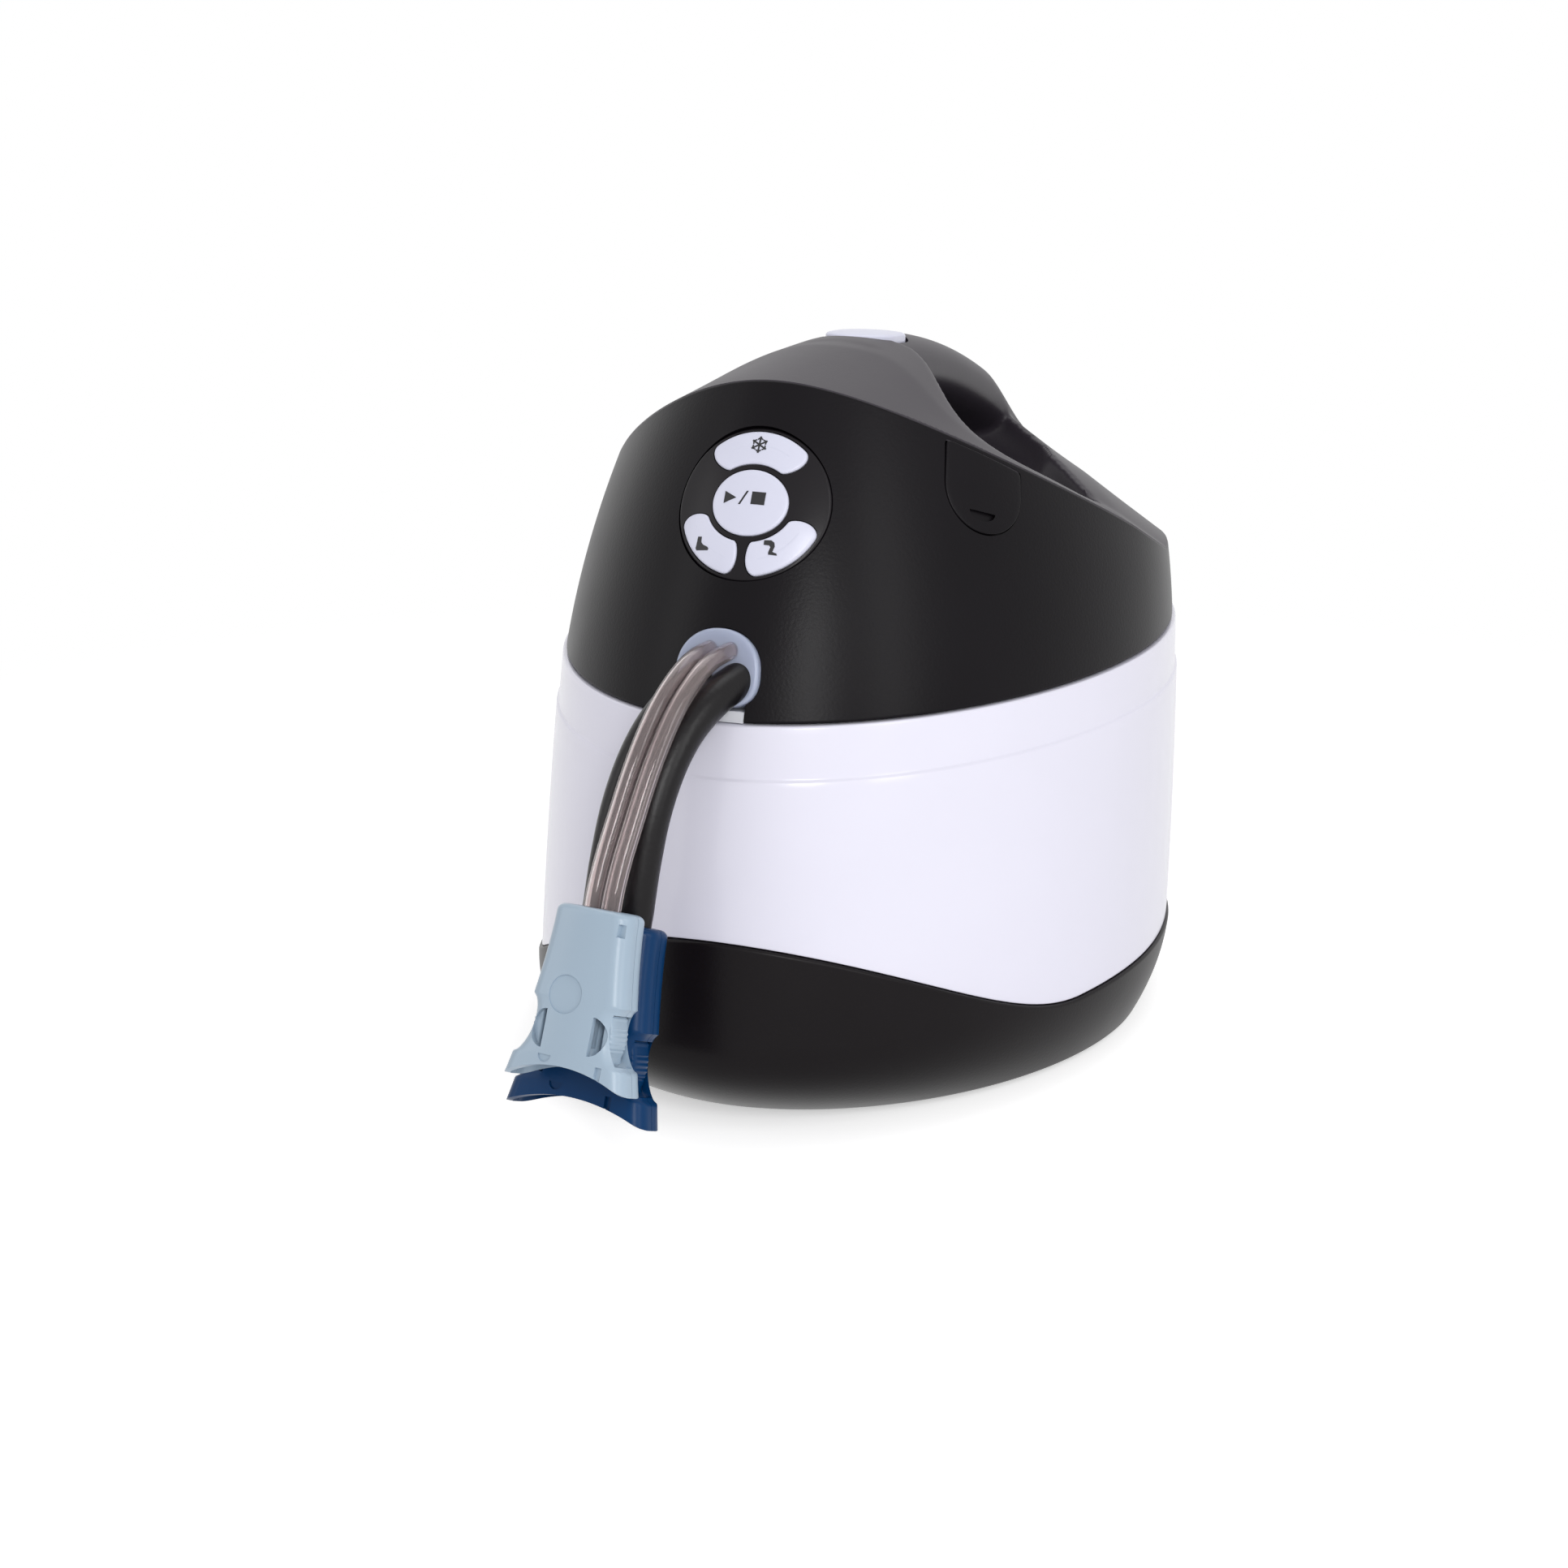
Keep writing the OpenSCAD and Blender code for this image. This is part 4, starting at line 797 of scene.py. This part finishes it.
# keypad
keypad = {"r": 28, "round": 62, "bow": 190, "runRx": 14, "runRy": 12, "gap": 2.2, "proud": 0.8, "clear": 0.35,
          "spans": {"cold": (43, 137), "left": (193, 265), "right": (275, 347)}, "edge": 0.9, "crown": 0.12,
          "depth": 1.5, "toMiddle": 8, "well": (-14, 6), "margin": 1.6, "endSpan": 9.0}


def padHeight(u, v):
    # barrel-shaped skin: round across and slightly bowed up and down
    r = keypad["round"] - v*v/2/keypad["bow"]
    return np.sqrt(np.maximum(r*r - u*u, 0)) - keypad["round"]


def petalLine(a0, a1):
    # a piece of the ring between the run key and the rim, with rounded ends
    s = keypad
    out, kx, ky = s["r"] - s["margin"], s["runRx"] + s["gap"], s["runRy"] + s["gap"]

    def side(sign, angles):
        d = np.minimum(angles - a0, a1 - angles)/s["endSpan"]
        h = np.where(d < 1, np.sqrt(np.clip(1 - (1 - d)**2, 0, 1)), 1)
        rad = np.radians(angles)
        hole = 1/np.sqrt((np.cos(rad)/kx)**2 + (np.sin(rad)/ky)**2)
        r = (out + hole)/2 + sign*(out - hole)/2*np.maximum(h, 0.02)
        return np.c_[r*np.cos(rad), r*np.sin(rad)]

    u = 0.5 - 0.5*np.cos(np.pi*np.linspace(0, 1, 90))
    return np.vstack([side(1, mix(a0, a1, u)), side(-1, mix(a1, a0, u))[1:-1]])


def evenLine(line, n):
    # the same closed outline with points evenly spaced
    closed = np.vstack([line, line[:1]])
    step = np.r_[0, np.cumsum(np.linalg.norm(np.diff(closed, axis=0), axis=1))]
    want = np.linspace(0, step[-1], n, endpoint=False)
    return np.c_[np.interp(want, step, closed[:, 0]), np.interp(want, step, closed[:, 1])]


def inward(line, d):
    # moves a counter-clockwise outline in by d
    ahead, behind = np.roll(line, -1, 0), np.roll(line, 1, 0)
    t = ahead - behind
    t /= np.linalg.norm(t, axis=1, keepdims=True) + 1e-9
    return line + d*np.c_[-t[:, 1], t[:, 0]]


def capSurface(line, s):
    # side wall, rounded shoulder, then rings shrinking to the middle of the key's top
    line, proud, edge = evenLine(line, 120), s["proud"], s["edge"]
    rings = [(line, -s["depth"]), (line, proud - edge)]
    for k in np.linspace(0.15, math.pi/2, 6):
        rings.append((inward(line, edge*(1 - math.cos(k))), proud - edge + edge*math.sin(k)))
    shoulder = inward(line, edge)
    middle = shoulder.mean(0)
    for k in np.linspace(0, 1, s["toMiddle"])[1:]:
        height = proud + s["crown"]*math.sin(k*math.pi/2)
        rings.append((mix(shoulder, middleOf(shoulder, middle), k*0.98), height))
    grid = np.stack([np.c_[p, padHeight(p[:, 0], p[:, 1]) + n] for p, n in rings])
    return loftGrid(grid)


def middleOf(points, middle):
    # petals shrink toward the arc through their middle, round keys toward their centre
    r = np.hypot(points[:, 0], points[:, 1])
    if r.min() < 1 or np.hypot(*middle) < 3:
        return np.broadcast_to(middle, points.shape)
    a = np.unwrap(np.arctan2(points[:, 1], points[:, 0]))
    centre = (a.min() + a.max())/2
    half = (a.max() - a.min())/2*0.72
    a2 = centre + np.clip(a - centre, -half, half)
    return 21.0*np.c_[np.cos(a2), np.sin(a2)]


def padPanel():
    # the disc's face with a soft edge
    s = keypad
    a = ringAngles(160)
    edge = ((0, -3.0), (0, -0.5), (0.15, -0.2), (0.45, -0.04), (0.9, 0.0))
    rings = [(s["r"] - d, n) for d, n in edge]
    rings += [(r, 0.0) for r in np.linspace(s["r"] - s["margin"], 0.4, 24)]
    grid = []
    for r, n in rings:
        u, v = r*np.cos(a), r*np.sin(a)
        grid.append(np.stack([u, v, padHeight(u, v) + n], -1))
    return loftGrid(np.stack(grid))


keypadPanel = pieceIn(padFrame, "keypadPanel", *padPanel())
keyLines = {"run": circleLine(1, 120)*[keypad["runRx"], keypad["runRy"]]}
for keyName, span in keypad["spans"].items():
    keyLines[keyName] = petalLine(*span)
for line in keyLines.values():
    wellLine = inward(evenLine(line, 120), -keypad["clear"])
    cutAway(keypadPanel, prism("well", wellLine, *keypad["well"], padFrame))
lookFor(keypadPanel.data, 40)
place(keypadPanel, "lid", look["padBlack"], ["keypad_panel"])

inkShape = {"armW": 0.62, "armL": 6.2, "tickW": 0.45, "tickL": 1.5, "tickAt": 2.4, "tickOff": 0.5, "lean": 50,
            "sunk": 0.3, "raised": 0.12, "small": 0.85}


def bar(x, y, w, h, angle):
    a = math.radians(angle)
    line = np.array([(-w/2, -h/2), (w/2, -h/2), (w/2, h/2), (-w/2, h/2)])
    return line @ np.array([[math.cos(a), math.sin(a)], [-math.sin(a), math.cos(a)]]) + (x, y)


def snowflake(x, y, s):
    # three crossed arms with two short ticks near each end
    bars = [bar(x, y, s["armW"], s["armL"], k) for k in (0, 60, 120)]
    for k in range(0, 360, 60):
        a = math.radians(k + 90)
        for lean in (-s["lean"], s["lean"]):
            off = s["tickOff"]*math.sin(math.radians(lean))
            u, v = s["tickAt"]*math.cos(a) + off*math.sin(a), s["tickAt"]*math.sin(a) - off*math.cos(a)
            bars.append(bar(x + u, y + v, s["tickW"], s["tickL"], k + lean))
    return bars


def slab(line, low, high):
    # a thin plate lying on the pad's skin
    line = np.asarray(line, float)
    n, count = padHeight(line[:, 0], line[:, 1]), len(line)
    points = np.vstack([np.c_[line, n + low], np.c_[line, n + high]])
    sides = [(i, (i + 1) % count, (i + 1) % count + count, i + count) for i in range(count)]
    return points, sides + [tuple(range(count))[::-1], tuple(range(count, 2*count))]


footLine = [(-2.6, 3), (-2.9, -0.6), (-3.1, -1.9), (-2.5, -2.7), (2.8, -2.7), (3.2, -2), (2.5, -1.2),
            (0.4, -0.4), (-0.7, 0.7), (-0.8, 3)]
legLine = [(-3.3, 0.8), (-1, 0.8), (-0.4, 0.1), (-1, -1.9), (-1, -3), (2.6, -3), (2.4, -2.2), (0.6, -1.7),
           (1.3, 0.6), (0.9, 2.2), (-0.5, 3), (-3.3, 2.7)]
icons = {
    "run": [[(-9.3, -0.9), (-4.8, 1.3), (-9.3, 3.5)], [(-3.7, -1.1), (-3.0, -1.1), (-0.5, 3.9), (-1.2, 3.9)],
            [(0.9, -0.8), (5.9, -0.8), (5.9, 3.8), (0.9, 3.8)]],
    "cold": snowflake(0, 21.2, inkShape),
    "left": [np.array(footLine)*inkShape["small"] + (-15.2, -15.7)],
    "right": [np.array(legLine)*inkShape["small"] + (10.8, -15.4)],
}
for keyName, line in keyLines.items():
    cap = capSurface(line, keypad)
    top = keypad["proud"] + keypad["crown"]
    ink = [slab(icon, top - inkShape["sunk"], top + inkShape["raised"]) for icon in icons[keyName]]
    points, faces = join([cap] + ink)
    key = pieceIn(padFrame, "key" + keyName.capitalize(), points, faces)
    lookFor(key.data, 60)
    inkFrom = len(cap[1])
    place(key, "key_" + keyName, look["keyWhite"], ["button_" + keyName])
    key.data.materials.append(look["keyInk"])
    for polygon in key.data.polygons[inkFrom:]:
        polygon.material_index = 1
print("keypad made")

# hose mouth
mouthShape = {"deep": 6, "proud": 1.5, "edge": 1.3}


def mouthSurface(s):
    # arch rings: up the side, round the edge, then in to the middle with a slight dish
    rings = [(archLine(0), -s["deep"]), (archLine(0), s["proud"] - s["edge"])]
    for k in np.linspace(0.2, math.pi/2, 6):
        rings.append((archLine(-s["edge"]*(1 - math.cos(k))), s["proud"] - s["edge"] + s["edge"]*math.sin(k)))
    base = archLine(-s["edge"])
    rings += [(base*k, s["proud"] - 0.5*(1 - k*k)) for k in np.linspace(0.9, 0.1, 8)]
    return loftGrid(np.stack([np.c_[p, np.full(len(p), n)] for p, n in rings]))


hoseMouth = pieceIn(gromFrame, "hoseMouth", *mouthSurface(mouthShape))
lookFor(hoseMouth.data, 60)
place(hoseMouth, "lid", look["hoseMouth"], ["hose_grommet"])

# port flap
flapShape = {"round": 130, "proud": 0.6, "thick": 2.0, "edge": 0.5,
             "notchAt": (-1, -11.3), "notchSize": (5.6, 3.4), "notchFloor": -0.8}


def flapSurface(s):
    # a rounded outline lying on a cylinder-shaped skin, its edge softened
    outline = evenLine(portLine(0), 160)

    def curved(p):
        return np.sqrt(s["round"]**2 - p[:, 0]**2) - s["round"]

    low, edge = s["proud"] - s["edge"], s["edge"]
    rings = [(inward(outline, 0.4), s["proud"] - s["thick"]), (outline, low - 0.6), (outline, low)]
    for k in np.linspace(0.2, math.pi/2, 5):
        rings.append((inward(outline, edge*(1 - math.cos(k))), low + edge*math.sin(k)))
    inner = inward(outline, s["edge"])
    rings += [(inner*k, s["proud"]) for k in np.linspace(0.9, 0.05, 10)]
    grid = np.stack([np.c_[p, curved(p) + n] for p, n in rings])
    return loftGrid(grid)


portFlap = pieceIn(portFrame, "portFlap", *flapSurface(flapShape))


def notchCutter():
    # a half-moon scoop for a fingernail near the flap's round end
    a = np.linspace(math.pi, 2*math.pi, 24)
    (x, y), (w, h) = flapShape["notchAt"], flapShape["notchSize"]
    line = rolled(np.c_[x + w*np.cos(a), y + h*np.sin(a)])
    return prism("notch", line, flapShape["notchFloor"], 4, portFrame)


cutAway(portFlap, notchCutter())
lookFor(portFlap.data, 40)
place(portFlap, "port_flap", look["housingBlack"], ["port_cover"])
print("mouth and flap made")

# connectors
plugShape = {"length": 60, "waterMore": 7, "topW": 30, "mouthW": 49, "thick": 18, "wall": 2,
             "notch": (0.53, 0.87, 4), "saddle": 6, "waterWide": 8, "leverU": (0.57, 0.84), "round": 6,
             "edge": 2.4, "crown": 0.8, "seam": 0.1,
             "emblem": (-3, -30, 6.6), "halfMark": (-7, -51, 2.6), "snaps": ((13.2, -6), (14.5, -54))}


def plugLength(wide):
    return plugShape["length"] + plugShape["waterMore"]*wide/plugShape["waterWide"]


def plugHalf(u, wide):
    s = plugShape
    n0, n1, deep = s["notch"]
    w = (s["topW"] + wide)/2 + (s["mouthW"] - s["topW"])/2*u**1.6
    inside = np.clip((u - n0)/(n1 - n0), 0, 1)
    return w - deep*np.sqrt(np.sin(np.pi*inside))


def plugFace(side, wide, s):
    # down the length, sections of a seam wall, a rounded corner and a face that bulges a little:
    # y = h + crown (1 - (x/reach)^2) on the face and y = h - r + sqrt(r^2 - (x - reach)^2) at the corner
    length = plugLength(wide)
    u = np.r_[0, 0, 0.1*np.linspace(0, 1, 12)[1:]**2, np.linspace(0.1, 1, 84)[1:]]
    shrink = s["edge"] - np.sqrt(np.clip(s["edge"]**2 - np.clip(s["edge"] - u*length, 0, None)**2, 0, None))

    def layer(inset):
        r = s["round"] - inset
        w = (plugHalf(u, wide) - shrink - inset)[:, None]
        h = (s["thick"]/2 - s["crown"] - shrink*0.8 - inset)[:, None]
        reach, turn = w - r, np.linspace(0, math.pi/2, 11)[None, :]
        wall = np.linspace(0, 0.9, 4)[None, :]
        across = np.linspace(1, -1, 41)[1:-1][None, :]
        cornerX, cornerY = reach + r*np.cos(turn), h - r + r*np.sin(turn)
        wallX, wallY = w + 0*wall, mix(s["seam"], h - r, wall)
        x = np.hstack([wallX, cornerX, reach*across, -cornerX[:, ::-1], -wallX])
        y = np.hstack([wallY, cornerY, h + s["crown"]*(1 - across**2), cornerY[:, ::-1], wallY[:, ::-1]])
        y[0] = s["seam"]
        z = -(u*length)[:, None] + s["saddle"]*(u**8)[:, None]*(1 - (x/w)**2)
        return np.stack([x, side*y, np.minimum(z, -inset*0.95)], -1)

    outer, inner = layer(0), layer(s["wall"])
    rows, cols = outer.shape[:2]
    quads = gridFaces(rows, cols, closeCols=False)
    faces = [tuple(q) for q in quads] + [tuple(q[::-1] + rows*cols) for q in quads]
    edgeLoop = ([(0, c) for c in range(cols)] + [(r, cols - 1) for r in range(1, rows)]
                + [(rows - 1, c) for c in range(cols - 2, -1, -1)] + [(r, 0) for r in range(rows - 2, 0, -1)])
    rim = [r*cols + c for r, c in edgeLoop]
    faces += [(p, q, q + rows*cols, p + rows*cols) for p, q in zip(rim, rim[1:] + rim[:1])]
    return np.vstack([outer.reshape(-1, 3), inner.reshape(-1, 3)]), faces


def boxCutter(name, low, high, spot):
    x0, y0, z0 = low
    x1, y1, z1 = high
    outline = [(x0, y0), (x1, y0), (x1, y1), (x0, y1)]
    return prism(name, outline, z0, z1, spot)


def leverSolid(s, side, wide):
    # flat latch lever with a ribbed thumb pad, hung on its pin
    length = plugLength(wide)
    h = (s["leverU"][1] - s["leverU"][0])*length
    lw = s["thick"] - 2*s["wall"] - 3
    v = np.linspace(0, 1, 60)
    bulge = 1.5 + 1.3*np.sin(np.pi*np.clip((v - 0.1)/0.75, 0, 1))
    a = ringAngles(40)
    c, sn = np.sign(np.cos(a))*np.abs(np.cos(a))**0.45, np.sign(np.sin(a))*np.abs(np.sin(a))**0.45
    taper = np.where((v < 0.02) | (v > 0.98), 0.85, 1.0)
    ribs = 0.2*np.sin(v*60)*((v > 0.25) & (v < 0.75))
    xs = side*((c[None, :] > 0)*c[None, :]*(bulge + ribs)[:, None] + (c[None, :] <= 0)*c[None, :]*1.5)
    x = side*(plugHalf(0.7, wide) - 3) + xs*taper[:, None]
    z = np.broadcast_to((-s["leverU"][0]*length - h*v)[:, None], xs.shape)
    return loftGrid(np.stack([x, sn[None, :]*lw/2*taper[:, None], z], -1))


def faceMarks(s, side, wide, faceFrame):
    # thumb windows in both faces, and on the front two snap marks, a bare round recess and a half round
    length, n = plugLength(wide), s["thick"]/2
    scale = length/s["length"]
    low, high = (n - 4, n + 4) if side < 0 else (-n - 4, 4 - n)
    cutters = []
    for hand in (-1, 1):
        x, tall = plugHalf(0.7, wide) - 7.2, 0.11*length
        bow = np.linspace(-math.pi/2, math.pi/2, 24)
        line = np.c_[hand*(x + 5.6*np.cos(bow)), -0.705*length + tall*np.sin(bow)]
        cutters.append(prism("thumb", line, low, high, faceFrame))
    if side < 0:
        ex, ez, er = s["emblem"]
        hx, hz, hr = s["halfMark"]
        a = np.linspace(math.pi, 2*math.pi, 24)
        cutters.append(prism("emblem", circleLine(er, 72, (ex, ez*scale)), n - 0.75, n + 3, faceFrame))
        halfLine = np.c_[hx + hr*np.cos(a), hz*scale + hr*np.sin(a)]
        cutters.append(prism("halfMark", halfLine, n - 0.8, n + 3, faceFrame))
        for sx, sz in s["snaps"]:
            line = [(sx + x, sz*scale + z) for x, z in ((-1.2, -2.2), (1.2, -2.2), (1.2, 2.2), (-1.2, 2.2))]
            cutters.append(prism("snap", line, n - (3.4 if sz > -20 else 1.6), n + 3, faceFrame))
    return cutters


for kind, wide in (("air", 0), ("water", plugShape["waterWide"])):
    s = plugShape
    at = mouth + np.array(hoses[kind]["plugAt"])
    turned = turnZ(math.radians(hoses["plugTurn"][1])) @ turnX(math.radians(hoses["plugTurn"][0]))
    plugFrame, faceFrame = (at, turned), (at, turned @ turnX(math.pi/2))
    colour = look["connectorGrey" if kind == "air" else "connectorBlue"]
    length, lw = plugLength(wide), s["thick"] - 2*s["wall"] - 3
    for side, sideName in ((-1, "front"), (1, "back")):
        shell = pieceIn(plugFrame, f"{kind}Shell{sideName.capitalize()}", *plugFace(side, wide, s))
        for hand in (-1, 1):
            hole = circleLine(hoses[kind]["diameter"]/2 + 0.2, 48, (hand*hoses[kind]["gap"]/2, 0))
            cutAway(shell, prism("hoseHole", hole, -12, 12, plugFrame))
            x = plugHalf(0.7, wide) - 7.5
            low, high = sorted((hand*x, hand*(x + 30)))
            cutAway(shell, boxCutter("window", (low, -lw/2 - 0.3, -s["leverU"][1]*length - 0.3),
                                     (high, lw/2 + 0.3, -s["leverU"][0]*length + 0.3), plugFrame))
        for cutter in faceMarks(s, side, wide, faceFrame):
            cutAway(shell, cutter)
        lookFor(shell.data, 40)
        place(shell, "lid", colour, [f"{kind}_plug_{sideName}"])
    for hand, handName in ((-1, "left"), (1, "right")):
        leverName = f"{kind}Lever{handName.capitalize()}"
        lever = pieceIn(plugFrame, leverName, *leverSolid(s, hand, wide), angle=45)
        place(lever, f"{kind}_latch_{handName}", colour, [f"{kind}_lever_{handName}"])
print("connectors made")

# finishes for the solids that stay
solidLooks = {
    "linerWhite": ["tub_liner", "lid_pan", "intake_strainer"], "foamCream": ["insulation_foam"],
    "rubberBlack": ["foot_front_left", "foot_front_right", "foot_rear_left", "foot_rear_right"],
    "steelPlate": ["latch_keeper", "latch_bolt", "housing_screw_1", "housing_screw_2", "housing_screw_3",
                   "housing_screw_4"],
    "gasketGrey": ["lid_gasket"], "boardGreen": ["keypad_board", "main_board"],
    "castMetal": ["compressor_body", "compressor_head"], "copperWire": ["compressor_rotor"],
    "nylonCream": ["air_valve_left", "air_valve_right"], "mouldedGrey": ["air_manifold", "water_manifold"],
    "pumpGrey": ["pump_housing", "pump_cover", "dc_jack"], "impellerRust": ["pump_impeller"],
    "connectorGrey": ["air_plug_block"], "connectorBlue": ["water_plug_block"],
}
for lookName, nodeNames in solidLooks.items():
    for nodeName in nodeNames:
        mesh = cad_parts[nodeName].data
        mesh.materials.clear()
        mesh.materials.append(look[lookName])
print("solids finished")

# each hose's kind and side, read from its node name
for node, (obj, line) in hosePieces.items():
    kind, left = node.split("_")[0], node.endswith("left")
